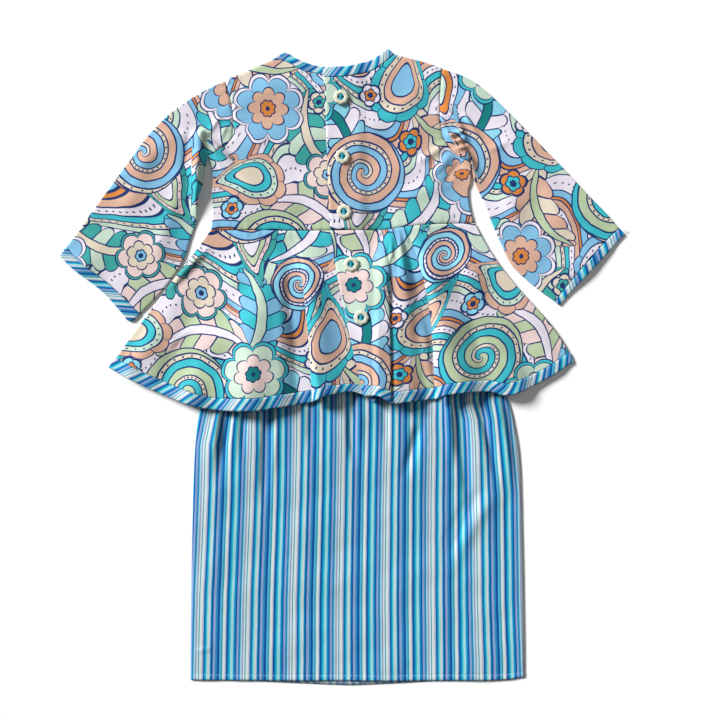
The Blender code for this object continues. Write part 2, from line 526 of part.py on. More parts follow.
def make_sleeves(parts):
    """Both sleeves and their cuff bindings, each a tube pressed flat."""
    sides = (
        ("left", ARMHOLE_LEFT, UNDERARM_LEFT, SLEEVE_LEFT_OUTER, SLEEVE_LEFT_INNER, CUFF_LEFT_SEAM,
         CUFF_LEFT_EDGE),
        ("right", ARMHOLE_RIGHT, UNDERARM_RIGHT, SLEEVE_RIGHT_OUTER, SLEEVE_RIGHT_INNER, CUFF_RIGHT_SEAM,
         CUFF_RIGHT_EDGE),
    )
    for side, armhole, underarm, outer, inner, seam, edge in sides:
        top = chain((armhole, ARMHOLE_STEPS))
        end = chain((seam, ARMHOLE_STEPS))
        out_edge = chain((outer, UNDERARM_STEPS + SLEEVE_STEPS))
        in_edge = chain((underarm, UNDERARM_STEPS), (inner, SLEEVE_STEPS))
        cloth(parts, side + "_sleeve", tube(top, end, out_edge, in_edge, CLOTH), CLOTH, PRINT_COLOUR, ring=True)
        cuff = chain((edge, ARMHOLE_STEPS))
        out_edge, in_edge = (np.linspace(end[i], cuff[i], 3) for i in (0, -1))
        rings = tube(end, cuff, out_edge, in_edge, BINDING)
        cloth(parts, side + "_cuff_binding", rings, BINDING, STRIPE_COLOUR, ring=True)


def make_skirt(parts):
    """Upper and lower panel of the skirt, and the waistband, a ring pressed flat."""
    def panel(hem, across, down):
        steps = np.linspace(0, 1, down + 1) ** 1.5
        x = np.linspace(0, 1, across + 1)
        flat = patch(along(SKIRT_WAIST, x), along(hem, x), along(SKIRT_LEFT, steps), along(SKIRT_RIGHT, steps))
        return flat

    flat = panel(SKIRT_HEM_FRONT, 10, 6)
    cloth(parts, "skirt_front", raised(flat, CLOTH / 2), CLOTH, STRIPE_COLOUR)
    flat = panel(SKIRT_HEM_BACK, 34, 14)
    beside = np.minimum(flat[..., 0] - flat[:, :1, 0], flat[:, -1:, 0] - flat[..., 0])
    z = upper_level(CLOTH) + SKIRT_CROWN * smooth(beside / CROWN_REACH) + creases(flat, SKIRT_CREASES)
    cloth(parts, "skirt_back", raised(flat, z), CLOTH, STRIPE_COLOUR)

    (x_left, y), (x_right, _) = SKIRT_WAIST
    x = np.linspace(x_left + TURN_INSET, x_right - TURN_INSET, 9)
    rows = np.array([y + SEAM_GAP, y + WAISTBAND_HEIGHT])
    flat = np.stack(np.meshgrid(x, rows), axis=-1)
    upper = raised(flat, upper_level(BINDING))
    lower = raised(flat, BINDING / 2)[:, ::-1]
    ends = turned(upper[:, -2:], lower[:, 0]), turned(upper[:, 1::-1], lower[:, -1])[:, ::-1]
    rings = np.concatenate([upper, ends[0], lower, ends[1]], axis=1)
    cloth(parts, "skirt_waistband", rings, BINDING, STRIPE_COLOUR, ring=True)


def make_buttons(parts, cutters, under):
    """Five turned two-hole buttons, each just clear of the cloth points under it."""
    profile = [(0, BUTTON_HEIGHT - BUTTON_WELL_DEPTH),
               (BUTTON_WELL_RADIUS, BUTTON_HEIGHT - BUTTON_WELL_DEPTH),
               (BUTTON_WELL_RADIUS + BUTTON_EDGE, BUTTON_HEIGHT),
               (BUTTON_RADIUS - BUTTON_EDGE, BUTTON_HEIGHT),
               (BUTTON_RADIUS, BUTTON_HEIGHT - BUTTON_EDGE),
               (BUTTON_RADIUS, BUTTON_EDGE),
               (BUTTON_RADIUS - BUTTON_EDGE, 0),
               (0, 0)]
    mesh = bpy.data.meshes.new("button_blank")
    mesh.from_pydata([(r, 0, z) for r, z in profile], [(i, i + 1) for i in range(len(profile) - 1)], [])
    blank = bpy.data.objects.new("button_blank", mesh)
    cutters.objects.link(blank)
    screw = blank.modifiers.new("turn", "SCREW")
    screw.steps = screw.render_steps = BUTTON_STEPS
    screw.use_merge_vertices = True
    screw.merge_threshold = 0.00001
    for side in (-1, 1):
        drill_mesh = bpy.data.meshes.new("drill")
        form = bmesh.new()
        bmesh.ops.create_cone(form, cap_ends=True, segments=8, radius1=BUTTON_HOLE_RADIUS,
                              radius2=BUTTON_HOLE_RADIUS, depth=3 * BUTTON_HEIGHT)
        form.to_mesh(drill_mesh)
        form.free()
        drill = bpy.data.objects.new("drill", drill_mesh)
        drill.location.x = side * BUTTON_HOLE_OFFSET
        drill.hide_render = True
        drill.display_type = "WIRE"
        cutters.objects.link(drill)
        cut = blank.modifiers.new("hole", "BOOLEAN")
        cut.operation = "DIFFERENCE"
        cut.object = drill
    bpy.context.view_layer.update()
    turned_mesh = bpy.data.meshes.new_from_object(blank.evaluated_get(bpy.context.evaluated_depsgraph_get()))
    turned_mesh.materials.clear()
    turned_mesh.materials.append(None)
    bpy.data.objects.remove(blank)

    under = np.vstack([finer(grid, 8).reshape(-1, 3) for grid in under])
    for number, (x, y) in enumerate(BUTTON_CENTRES, start=1):
        near = np.linalg.norm(under[:, :2] - (x, y), axis=1) < BUTTON_RADIUS + CLOTH
        name = "button_%d" % number
        button = bpy.data.objects.new(name, turned_mesh)
        button.material_slots[0].link = "OBJECT"
        button.material_slots[0].material = material(name, BUTTON_COLOUR, BUTTON_ROUGHNESS)
        button.location = (x, y, under[near, 2].max() + CLOTH / 2 + PLY_GAP)
        parts.objects.link(button)


def main():
    for old in list(bpy.data.objects):
        bpy.data.objects.remove(old)
    parts = collection(COLLECTION)
    cutters = collection(CUTTERS)
    bodice = make_bodice(parts)
    hem = make_peplum(parts)
    make_neck_binding(parts)
    make_sleeves(parts)
    make_skirt(parts)
    make_buttons(parts, cutters, [bodice, hem])


main()
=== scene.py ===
"""Looks of a child's baju kurung set laid flat, face down: a printed top with a flared, bound peplum
over a striped skirt.

Metres, +Z up, +Y towards the neck. Each cloth piece is a grid of points worked out with numpy: an
outline patch, or lines carried from waist to hem, raised by the sum of soft height functions. A UV map
named "cloth" holds each piece's place on its flat cloth in metres, and the print and stripes read it.
"""

import math

import bpy
import numpy as np
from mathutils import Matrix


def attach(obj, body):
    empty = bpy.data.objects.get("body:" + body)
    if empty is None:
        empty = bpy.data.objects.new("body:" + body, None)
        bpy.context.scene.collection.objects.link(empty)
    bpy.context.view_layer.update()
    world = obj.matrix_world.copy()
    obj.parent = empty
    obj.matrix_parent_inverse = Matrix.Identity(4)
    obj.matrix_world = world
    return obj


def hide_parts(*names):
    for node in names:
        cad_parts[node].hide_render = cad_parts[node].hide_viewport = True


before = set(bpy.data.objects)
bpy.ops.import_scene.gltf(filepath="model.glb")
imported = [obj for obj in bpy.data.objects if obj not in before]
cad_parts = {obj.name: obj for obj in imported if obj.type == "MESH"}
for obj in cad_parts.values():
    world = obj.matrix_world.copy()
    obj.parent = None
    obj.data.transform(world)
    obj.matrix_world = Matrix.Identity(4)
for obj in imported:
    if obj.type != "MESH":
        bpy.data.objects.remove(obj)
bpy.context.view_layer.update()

bl_info = {
    "name": "Baju kurung set",
    "version": (1, 0, 0),
    "blender": (4, 5, 0),
    "location": "3D View > Sidebar > Baju kurung",
    "description": "Makes a child's top and skirt in printed and striped cotton, laid flat",
    "category": "Object",
}

# Levels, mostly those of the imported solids; cloth lies higher over the skirt and at its folds
CLOTH = 0.0010             # a ply of print or skirt cloth, and below it a ply of binding
BINDING = 0.0012
PLY_GAP = 0.0003
SHEET_WALL = 0.0006        # of the shells that are seen, thinner than their plies
STRIP_WALL = 0.0009
TURN_INSET = 0.0018        # of a ply from its folded edge, and of the neck strip from the shoulder
NECK_INSET = 0.0009
CROWN = 0.0012             # rise of the top's and the skirt's upper ply, and how far in it is full
SKIRT_CROWN = 0.0005
CROWN_REACH = 0.030
SKIRT_EDGE = 0.016         # how far in from its sides the skirt is free to gather
SKIRT_PUFF = 0.0022        # rise of the skirt's waist, the y where it starts, and over what length
PUFF_START = -0.17
PUFF_SLOPE = 0.10
SKIRT_RISE = 0.0050        # of the top over the skirt, and how far beside it the top is down again
SKIRT_SLOPE = 0.032
LAP_RISE = 0.0017          # of the right back over the left one, and where beside it that ends
LAP_MARGIN = 0.003
LAP_SLOPE = 0.012
FOLD_STEP = 0.0038         # height of one step of a peplum fold, its depth, and its turn's share
FOLD_DEPTH = 0.0090
FOLD_TURN = 0.36
FOLD_GROWTH = 0.20         # share of the panel over which the folds grow to their height
DRAPE_LIFT = 0.0030        # of the peplum's back over its front, at the hem, and how far in it is full
DRAPE_REACH = 0.050
SOFTNESS = 0.0008          # of the cloth where it comes to rest on the ply under it
HEM_SEAM = 0.931           # share of the peplum's length above its binding
PEPLUM_LENGTH = 0.170
WAISTBAND_HEIGHT = 0.025
HEM_TURN = 0.0065          # depth of the skirt's doubled hem, its rise, and over what width it ends
HEM_RISE = 0.0004
HEM_SLOPE = 0.0015
STITCH_LINE = 0.0054       # from the skirt's hem
STITCH_DIP = 0.0005        # how far the cloth sinks in along the stitches, and how wide
STITCH_DIP_WIDTH = 0.0008
STITCH_PUCKER = 0.00015    # height of the puckers beside the stitches, and how far they reach
STITCH_PUCKER_REACH = 0.004
STRIP_CROWN = 0.00035      # how much fuller a strip's middle is, and how far its edges roll down
STRIP_ROLL = 0.0002
STRIP_LEAN = math.radians(51)  # of the stripes to the binding strips
HEM_STRETCH = 0.92         # of the stripes on the hem's and the neck's strip
NECK_STRETCH = 0.96
SEAM_GAP = 0.0002          # between two pieces that are sewn together
SEAM_DIP = 0.0009          # how far the cloth sinks into a seam
SEAM_WIDTH = 0.0014
PUCKER = 0.00022           # height of the puckers beside a seam, and how far they reach
PUCKER_REACH = 0.007
RIPPLE = 0.0034            # height of the top's unevenness, and its share where the cloth is held
RIPPLE_HELD = 0.15
TUCK_WIDTH = 0.0012
WAISTBAND_GAP = 0.0005     # between the skirt and its waistband
TRIM_GAP = 0.00035         # of buttons and stitches above the middle of the cloth under them
STITCH_LENGTH = 0.0021
STITCH_GAP = 0.0009
STITCH_RADIUS = 0.00018
BAR_RADIUS = 0.00044       # of the thread that fills a button's well, and of a loose thread end
TUFT_RADIUS = 0.00022
STRIP_ROWS = 9             # of points across a binding strip
STRIP_STEPS = 56           # along a neck strip's parts, and half round a cuff
TURN_COLUMNS = 3           # of points round a folded edge
FULL_TURN = 2 * math.pi


def mm(*points):
    """Points given in millimetres, in metres."""
    return np.array(points, float) / 1000


# Outlines, as (x, y) points that a smooth curve passes through
SHOULDER_LEFT = mm((-117.9, 287.7), (-92.5, 298.5), (-72.5, 307.1))
SHOULDER_RIGHT = mm((52, 313.5), (78.5, 306.6), (100, 299.8))
NECK_SEAM_LEFT = mm((-72.5, 307.1), (-62, 307.6), (-51.5, 303.5), (-39.5, 296.5), (-25.5, 293.7),
                    (-7.5, 289.5), (9.5, 290.9))
NECK_EDGE_LEFT = mm((-59.9, 315.3), (-53.5, 313.5), (-47.5, 309.5), (-37.5, 305), (-24.5, 301),
                    (-6.5, 299.9), (9.5, 301.1))
NECK_SEAM_RIGHT = mm((-19, 289.5), (-4.5, 289.3), (8.5, 290.8), (21.5, 293.5), (32.5, 297.7),
                     (40.5, 304), (52, 313.5))
NECK_EDGE_RIGHT = mm((-19.9, 299.9), (-4.5, 299.9), (7.5, 301), (18.5, 304), (27.5, 306.7),
                     (35.5, 311.5), (45.5, 319.2))
NECK_SEAM_FRONT = mm((-72.5, 307.1), (-58.5, 280.5), (-36.5, 260.5), (-9.5, 253.5), (17.5, 260.5),
                     (38.5, 280.5), (52, 313.5))
NECK_EDGE_FRONT = mm((-59.9, 315.3), (-49.5, 288.5), (-30.5, 271.5), (-9.5, 265.5), (11.5, 271.5),
                     (28.5, 288.5), (45.5, 319.2))
ARMHOLE_LEFT = mm((-117.9, 287.7), (-112, 266.5), (-109.3, 244.5), (-111, 228.5))
ARMHOLE_RIGHT = mm((100, 299.8), (98.3, 276.5), (97.8, 248.5), (101, 228.5))
UNDERARM_LEFT = mm((-111, 228.5), (-120, 218.5), (-134.5, 211.5))
UNDERARM_RIGHT = mm((101, 228.5), (111, 214.5), (128.5, 202.5))
SIDE_LEFT = mm((-134.5, 211.5), (-131.5, 200), (-130, 186.5), (-131.5, 171.5), (-130.5, 154.5),
               (-132, 137))
SIDE_RIGHT = mm((128.5, 202.5), (129, 185.5), (126.5, 176.5), (127.5, 161.5), (130.5, 149.5),
                (132.5, 144))
WAIST = mm((-132, 137), (-50, 136.5), (30, 136.8), (58.5, 139.7), (85.5, 142.5), (132.5, 144))
PLACKET_EDGE = mm((-20, 300.5), (-17.5, 266.5), (-14.5, 186.5), (-12, 136.5), (-7.9, 108.5),
                  (2.3, 48.5), (11.3, 11.5), (20.2, -36.5))
UNDERLAP_EDGE = mm((9.5, 301.5), (10.5, 266.5), (12.5, 186.5), (14.5, 136.5), (18.5, 98.5),
                   (25.5, 48.5), (29.5, 11.5), (33.5, -36.5))
SLEEVE_LEFT_OUTER = mm((-117.9, 287.7), (-143.5, 275.5), (-169.5, 258.5), (-194.5, 234),
                       (-212.5, 210.5), (-235.5, 178.5), (-253.5, 154.5), (-266, 136.5), (-277.2, 121.5))
SLEEVE_LEFT_INNER = mm((-134.5, 211.5), (-137, 199), (-138.5, 186), (-143, 170), (-145.5, 147.5),
                       (-152.5, 126.5), (-161.5, 101.5), (-181.5, 74.5), (-202.6, 52.5))
SLEEVE_RIGHT_OUTER = mm((100, 299.8), (125.5, 290.8), (146.5, 276), (165.5, 258), (184.5, 238.5),
                        (203.5, 219), (226.5, 195.5), (248.5, 171.5), (265.5, 154.5), (278.5, 139.5))
SLEEVE_RIGHT_INNER = mm((128.5, 202.5), (132.5, 182.5), (138.5, 169.5), (145.5, 152.5),
                        (157.5, 124.5), (169.5, 101), (191, 80.5), (212.8, 64.5))
CUFF_LEFT_SEAM = mm((-277.2, 121.5), (-265.1, 106), (-235.1, 83.7), (-202.6, 52.5))
CUFF_LEFT_EDGE = mm((-284.1, 111.5), (-270.2, 97.7), (-241.5, 75.5), (-216.5, 48.5), (-209.5, 45.5))
CUFF_RIGHT_SEAM = mm((278.5, 139.5), (265.1, 126.5), (250.4, 110), (232.5, 89.5), (212.8, 64.5))
CUFF_RIGHT_EDGE = mm((283.8, 134), (266.5, 114.5), (252.5, 99.5), (233.5, 79.5), (217, 61))
SKIRT_WAIST = mm((-95, 58.5), (120, 58.5))
SKIRT_LEFT = mm((-95, 58.5), (-102.5, 41.5), (-122.5, 4.5), (-139.5, -29.5), (-145.5, -57.5),
                (-149, -99.5), (-151, -177.5), (-152.5, -273.5), (-152.5, -315))
SKIRT_RIGHT = mm((120, 58.5), (127.5, 41.5), (147.5, 4.5), (164.5, -29.5), (172.5, -57.5),
                 (178.2, -99.5), (180.5, -177.5), (182.2, -273.5), (182.5, -312))
SKIRT_HEM_BACK = mm((-152.5, -315), (-100, -315.4), (0, -315.8), (100, -315.6), (160, -315),
                    (182.5, -312))
SKIRT_HEM_FRONT = mm((-152.5, -315), (-107.5, -315.6), (-10, -319.8), (20, -320), (108.5, -315.5),
                     (182.5, -312))
BUTTON_CENTRES = mm((-1.5, 269.2), (-0.1, 210.1), (1.7, 154.7), (8.7, 101.6), (18.7, 48.5))

# Peplum stations, lines that run from waist to hem, in millimetres: waist (x, y), upper third,
# lower third, hem; then the rise at the hem in fold steps, the columns of points up to the next
# station, and where down the panel a fold starts, or None where the span has no fold
BACK_LEFT_STATIONS = [
    (-132, 137, -167.5, 89.5, -201.5, 44.5, -233.9, -1.5, 0, 24, None),
    (-114.5, 137, -135.5, 82.5, -163.5, 30.5, -192.5, -22.5, 0, 24, None),
    (-96.5, 137, -105.5, 76.5, -122.5, 16.5, -141.5, -41.1, 0, 24, None),
    (-78.5, 136.5, -80.5, 76.5, -84.5, 16.5, -92.5, -44.3, 1.2, 14, None),
    (-69, 136.5, -64, 75.5, -64, 18, -66, -41.2, 1, 12, None),
    (-58.5, 136.5, -43.5, 74.5, -35.5, 19.5, -30.5, -35.5, -1.4, 40, 0.2),
    (-48.5, 136.5, -31.5, 76.5, -22.5, 19.5, -18.5, -29.7, 2, 18, None),
    (-16.5, 136.5, -7.5, 76.5, 3.5, 19.5, 11.5, -25.2, 0.3, 12, None),
    (14.5, 136.5, 21.5, 76.5, 28.5, 19.5, 33.5, -36.8, 0, 0, None),
]
BACK_RIGHT_STATIONS = [
    (-12, 136.5, -2.5, 76.5, 9.5, 21.5, 20.2, -29, 0.4, 16, None),
    (26, 136.8, 26.5, 76.5, 27.5, 21.5, 29, -28.8, 1.2, 12, None),
    (45.5, 137.7, 38.5, 76.5, 37, 21.5, 37.2, -29.6, 2, 40, 0.15),
    (54.5, 139, 51.5, 76.5, 49.5, 19.5, 48.5, -36.5, 0.9, 12, None),
    (56, 139.3, 62, 76.5, 66, 20, 68, -35, 1.4, 12, None),
    (58.5, 139.7, 79.5, 76.5, 88.5, 21.5, 91.5, -32.5, -1.4, 40, 0),
    (68.5, 140.9, 91.5, 78.5, 100.5, 23.5, 103.5, -28, 2, 20, None),
    (93.5, 142.7, 119.5, 82.5, 135.5, 28.5, 143.5, -25, 0.2, 14, None),
    (113.5, 143.5, 143.5, 84.5, 160.5, 28.5, 167.5, -28.5, 0, 18, None),
    (123.5, 143.8, 162.5, 87.5, 186.5, 35.5, 201.5, -14, 0, 14, None),
    (132.5, 144, 169, 87, 205.5, 46, 230.8, 4.2, 0, 0, None),
]
FRONT_STATIONS = [
    (-132, 137, -167.5, 89.5, -201.5, 44.5, -233.9, -1.5, 0, 12, None),
    (-95, 137, -105.5, 78.5, -122, 19, -141.5, -37.5, 0, 12, None),
    (-45, 136.5, -50, 78.5, -50, 21.5, -50, -30.5, 0, 12, None),
    (15, 136.5, 15, 78.5, 15, 25.5, 15, -21.5, 0, 12, None),
    (58.5, 139.7, 80, 79.5, 95, 25.5, 100, -22.5, 0, 12, None),
    (98.5, 143, 132, 84.5, 153, 30.5, 165, -21.5, 0, 12, None),
    (132.5, 144, 169, 87, 205.5, 46, 230.8, 4.2, 0, 0, None),
]

# Creases in millimetres: start x, y, end x, y, sideways bow, half width and height; then the
# share of it that is held up at its start
TOP_CREASES = [
    (-142.5, 234, -146.2, 140, 0.8, 5.8, 8.5, 0.6),
    (-141, 233, -104, 205, 1.4, 3.2, 4.6, 0.6),
    (112, 256, 142, 178, 4, 5, 6, 0),
    (-134, 120, -178.5, 71, 1.5, 4, 4, 0.3),
    (-179, 15, -144, 45, 0, 2.8, 1, 0),
    (-136, 224, -100, 196, 1.5, 2.8, 1.6, 0),
    (-133, 214, -108, 186, 1, 3, 1.2, 0),
    (-153, 240, -156, 175, 3, 3, -1.4, 0),
    (-122, 252, -137, 229, 0.4, 2.4, 1.4, 0),
    (-115, 244, -123, 226, 0.4, 2, 1, 0),
    (-165, 238, -142, 225, 1, 3, 1.2, 0),
    (101, 244, 130, 199, 2, 2.8, 5.2, 0.3),
    (110, 248, 134, 205, 2, 2.4, -4, 0),
    (106, 226, 70, 201, -1, 3.6, 1.8, 0.3),
    (111, 216, 86, 188, -1, 3.4, 2, 0.3),
    (122, 208, 98, 178, 1, 3.4, -1.6, 0.3),
    (120, 256, 144, 224, 2, 2.6, 2.2, 0),
    (99, 265, 120, 242, 1, 3, 2.4, 0.3),
    (105, 230, 123, 237, 0, 2, 3.4, 0.3),
    (109, 223, 126, 230, 0, 1.8, 2.8, 0.3),
    (112, 216, 129, 222, 0, 1.8, 2.4, 0.3),
    (142, 215, 170, 228, 1, 3.4, 1, 0),
    (-86, 292, -33, 250, 3, 8, 1.4, 0),
    (85, 285, 30, 238, -3, 9, 1.4, 0),
    (-118, 190, -30, 156, 2, 8.5, 1.3, 0),
    (120, 195, 40, 160, -2, 8.5, 1.3, 0),
    (-170, 245, -225, 140, 4, 10, 2, 0),
    (-156, 215, -198, 90, -4, 8, 1.6, 0),
    (-185, 215, -235, 175, 2, 6, 1, 0),
    (150, 250, 235, 135, -5, 10, 2, 0),
    (155, 195, 205, 105, 4, 8, 1.6, 0),
    (196, 180, 224, 154, 0, 4, 1.2, 0),
    (-48, 80, -37, -40, 1, 8, -1, 0),
    (60, 145, 76, 90, 1, 3, 1.2, 0),
    (48, 140, 52, 90, 1, 2.8, 1, 0),
]
FLUTES = [
    (-118, 137, -265, -100, 6, 11, 2.8, 0),
    (-106, 137, -220, -120, 6, 8, -1.8, 0),
    (-98, 137, -180, -130, 5, 11, 2.6, 0),
    (-86, 137, -142, -140, 3, 12, -1.6, 0),
    (-78, 137, -101, -140, 2, 17, 4.2, 0),
    (-55, 137, -24, -130, 2, 9, -3.4, 0.5),
    (-47, 137, -6, -130, 2, 4.8, 3.2, 0.5),
    (56, 139, 52, -130, 0, 6, 1.4, 0.3),
    (64, 139, 90, -130, 6, 11, -3.4, 0.3),
    (74, 140, 118, -130, 10, 5, 3, 0.4),
    (86, 140, 148, -130, 4, 12, 1.6, 0),
    (98, 140, 180, -130, -2, 8, -1.8, 0),
    (112, 143, 212, -125, -4, 11, 2.6, 0),
    (126, 143, 262, -90, -5, 9, 1.4, 0),
]
SKIRT_CREASES = [
    (-86, 58.5, -112, -82, 3, 7, 0.9, 1),
    (-64, 58.5, -85, -70, 2, 6, 0.7, 1),
    (-42, 58.5, -60, -98, 2, 6.5, 0.9, 1),
    (-20, 58.5, -24, -62, 1, 6, 0.7, 1),
    (2, 58.5, -1, -80, 1, 6.5, 0.9, 1),
    (24, 58.5, 25, -85, 1, 6, 0.8, 1),
    (46, 58.5, 52, -72, 1, 6, 0.7, 1),
    (68, 58.5, 80, -90, 2, 6.5, 0.9, 1),
    (88, 58.5, 109, -100, 2, 7, 0.9, 1),
    (108, 58.5, 142, -90, 3, 6.5, 0.9, 1),
    (156, -122, 105, -220, 5, 7, 1.8, 0),
    (-113, -30, -124, -125, 1, 5, -4.6, 1),
    (-121, -30, -130, -95, 1, 3, 2.2, 1),
    (-98.5, -30, -101, -100, 0, 3.6, -2.2, 1),
    (-73.5, -30, -79, -150, 1, 4.6, -4, 1),
    (-64, -30, -70, -130, 1, 3.6, 1.6, 1),
    (-30, -30, -31, -90, 1, 4, -1.6, 1),
    (8, -25, 11, -105, 0, 4.2, -3.8, 1),
    (16, -25, 17, -90, 0, 3.6, 1.6, 1),
    (42, -25, 43, -90, 0, 4, -1.6, 1),
    (80, -50, 59, -120, 0, 5, -3.4, 0.3),
    (106, -30, 110, -105, 0, 3.6, 3.4, 1),
    (117, -30, 125, -150, -2, 4.6, -4.4, 1),
    (136, -30, 156, -120, -1, 4.4, -4.2, 1),
    (156, -30, 170, -125, -1, 3.6, 2.2, 1),
    (145, -115, 98, -205, 5, 7, -2.2, 0),
    (-151, -286.5, -128.5, -282.5, 0, 2, 1.2, 0),
]
# Folds that hide cloth, in millimetres: start x, y, end x, y, how much of the print they swallow
# along x and y, and over what reach the cloth on the left of their run gives it back
TUCKS = [
    (-150, 233, -152, 150, -5, 8, 60),
    (-142, 229, -105, 203, 3, -9, 60),
    (140, 175, 109, 256, 13, -9, 60),
    (130, 196, 101, 240, 5, 8, 60),
    (-133, 121, -177, 70, 3, -6, 50),
]

# Where the stripe repeats start on the skirt's back, in millimetres: y, then x of each half repeat
STRIPE_STEP = 0.02325
STRIPE_GUIDES = [
    (-305.5, -140.3, -116.9, -93.3, -69.7, -46.3, -22.8, 0.7, 24.2, 47.7, 71, 94, 117.3, 141.8,
     165.5),
    (-233.5, -138.8, -115.4, -92.1, -68.7, -45.8, -22.6, 0.8, 24, 47.1, 70.2, 93.2, 116.5, 139.9,
     163.2),
    (-127.5, -134.5, -111.6, -88.3, -65.3, -42.7, -20, 2.5, 25.3, 48, 70.6, 93.2, 115.8, 138.7,
     162.1),
    (-78.5, -133, -110.5, -86.7, -64.9, -41.5, -19.3, 3.3, 26.5, 49, 71.4, 93.9, 115, 137.5, 157.9),
    (-53.5, -128, -108.5, -86.7, -64.9, -41.2, -19.1, 3.4, 26.9, 49.4, 71.4, 93.6, 114.2, 135.7,
     155.5),
    (-34.5, -124, -106, -86, -64.5, -41, -19, 3.4, 26.9, 49.4, 71.4, 93.9, 111.9, 130.3, 152.5),
]

# The striped cotton's colours and one repeat of its stripes, as (share of the repeat, colour)
STRIPE_COLOURS = {
    "deep": (0, 84, 148), "navy": (4, 78, 152), "cerulean": (0, 134, 192),
    "turquoise": (44, 186, 202), "sky": (84, 176, 210), "steel": (36, 132, 184),
    "teal": (38, 154, 176), "lavender": (134, 160, 204), "mauve": (146, 156, 192),
    "ice": (158, 212, 220), "grey white": (192, 210, 212), "off white": (210, 221, 220),
    "pale": (160, 178, 208),
}
STRIPES = [
    (0, "deep"), (0.023, "cerulean"), (0.049, "turquoise"), (0.074, "ice"), (0.098, "grey white"),
    (0.141, "cerulean"), (0.168, "deep"), (0.207, "lavender"), (0.254, "steel"), (0.298, "navy"),
    (0.346, "sky"), (0.38, "teal"), (0.413, "off white"), (0.462, "pale"), (0.487, "deep"),
    (0.524, "cerulean"), (0.553, "turquoise"), (0.583, "ice"), (0.634, "sky"), (0.648, "cerulean"),
    (0.682, "navy"), (0.708, "lavender"), (0.752, "steel"), (0.794, "ice"), (0.826, "mauve"),
    (0.857, "off white"), (0.889, "teal"), (0.912, "off white"), (0.966, "pale"),
]

# The printed cotton's colours, and the bands of its ribbons with a navy line between two
PRINT_COLOURS = {
    "navy": (28, 52, 106), "white": (230, 224, 236), "cream": (220, 208, 188),
    "mint": (196, 218, 200), "sage": (182, 200, 164), "peach": (216, 174, 152),
    "blush": (230, 206, 202), "orange": (212, 132, 64), "sky": (130, 188, 224),
    "aqua": (140, 210, 232), "turquoise": (62, 186, 198), "teal": (64, 166, 160),
    "deep teal": (18, 126, 128),
}
RIBBONS = [(0, "white"), (0.285, "mint"), (0.395, "cream"), (0.48, "turquoise"), (0.585, "white"),
           (0.705, "peach"), (0.815, "orange"), (0.875, "sky")]
RIBBON_LINES = (0.26, 0.37, 0.455, 0.56, 0.68, 0.79, 0.85, 0.975)
# Colours of the threads; the last is no thread but painted shade, the dark colour of the faces down in the
# button holes
THREAD_AND_HOLE_SHADE_COLOURS = {"thread_pale": (196, 214, 222), "thread_turquoise": (40, 170, 190),
                  "painted_hole_shade": (16, 66, 84)}
# Motifs on one repeat of the print, the later ones on top: kind, centre, turn, size, number, colours
MOTIFS = [
    ("plume", (0.42, 0.07), 0.9, 0.2, 6, ("mint", "turquoise", "white")),
    ("plume", (0.86, 0.1), 2.6, 0.19, 7, ("teal", "mint", "cream")),
    ("plume", (0.12, 0.44), -0.5, 0.19, 6, ("aqua", "white", "deep teal")),
    ("plume", (0.58, 0.38), 1.9, 0.18, 5, ("peach", "cream", "sage")),
    ("plume", (0.1, 0.8), 0.4, 0.2, 7, ("sky", "turquoise", "mint")),
    ("plume", (0.88, 0.8), -1.2, 0.2, 6, ("sage", "blush", "white")),
    ("paisley", (0.43, 0.62), 0.7, 0.17, 9, ("turquoise", "cream", "peach", "sky")),
    ("paisley", (0.94, 0.36), 2.5, 0.16, 8, ("sky", "white", "orange", "mint")),
    ("paisley", (0.6, 0.93), -1.1, 0.15, 9, ("peach", "mint", "turquoise", "cream")),
    ("paisley", (0.17, 0.08), 3.9, 0.14, 8, ("teal", "blush", "sage", "white")),
    ("swirl", (0.22, 0.25), 0.4, 0.165, 1, ("sky", "cream", "peach")),
    ("swirl", (0.74, 0.62), 2.2, 0.175, -1, ("turquoise", "cream", "sage")),
    ("swirl", (0.31, 0.87), 4.2, 0.11, 1, ("peach", "white", "aqua")),
    ("rosette", (0.66, 0.19), 0.3, 0.15, 8, ("sky", "white", "peach", "orange")),
    ("rosette", (0.02, 0.59), 1, 0.14, 7, ("mint", "turquoise", "blush", "deep teal")),
    ("rosette", (0.93, 0.96), 0.6, 0.105, 6, ("blush", "teal", "cream", "sky")),
    ("rosette", (0.42, 0.36), 0.2, 0.06, 5, ("orange", "white", "turquoise", "cream")),
    ("rosette", (0.56, 0.78), 0.9, 0.055, 5, ("aqua", "cream", "orange", "white")),
    ("rosette", (0.86, 0.24), 1.5, 0.05, 5, ("cream", "peach", "teal", "white")),
    ("rosette", (0.27, 0.56), 0.5, 0.05, 5, ("white", "sky", "orange", "cream")),
]
# Where each printed piece was cut from its cloth: shift (x, y) in metres and turn
PRINT_CUTS = {
    "front_bodice": ((0.31, 0.12), 0), "back_bodice_left": ((0.02, 0.05), 0.12),
    "back_bodice_right": ((0.018, 0.121), -0.08), "front_peplum": ((0.52, 0.34), 0.3),
    "back_peplum_left": ((0.09, 0.125), -0.35), "back_peplum_right": ((0.03, 0.07), 0.45),
    "left_sleeve": ((0.055, 0.02), -0.75), "right_sleeve": ((0.13, 0.09), 0.85),
}

# Curves and patches

def smooth(x):
    """0 below 0, 1 above 1 and a soft S between: 3x^2 - 2x^3."""
    x = np.clip(x, 0, 1)
    return x * x * (3 - 2 * x)


def bell(x):
    """1 at 0 and falling away on both sides: e to the power of -x^2."""
    return np.exp(-x ** 2)


def reach(points):
    """How far along a polyline each of its points lies: the sum of the steps before it."""
    return np.concatenate([[0], np.cumsum(np.linalg.norm(np.diff(points, axis=0), axis=1))])


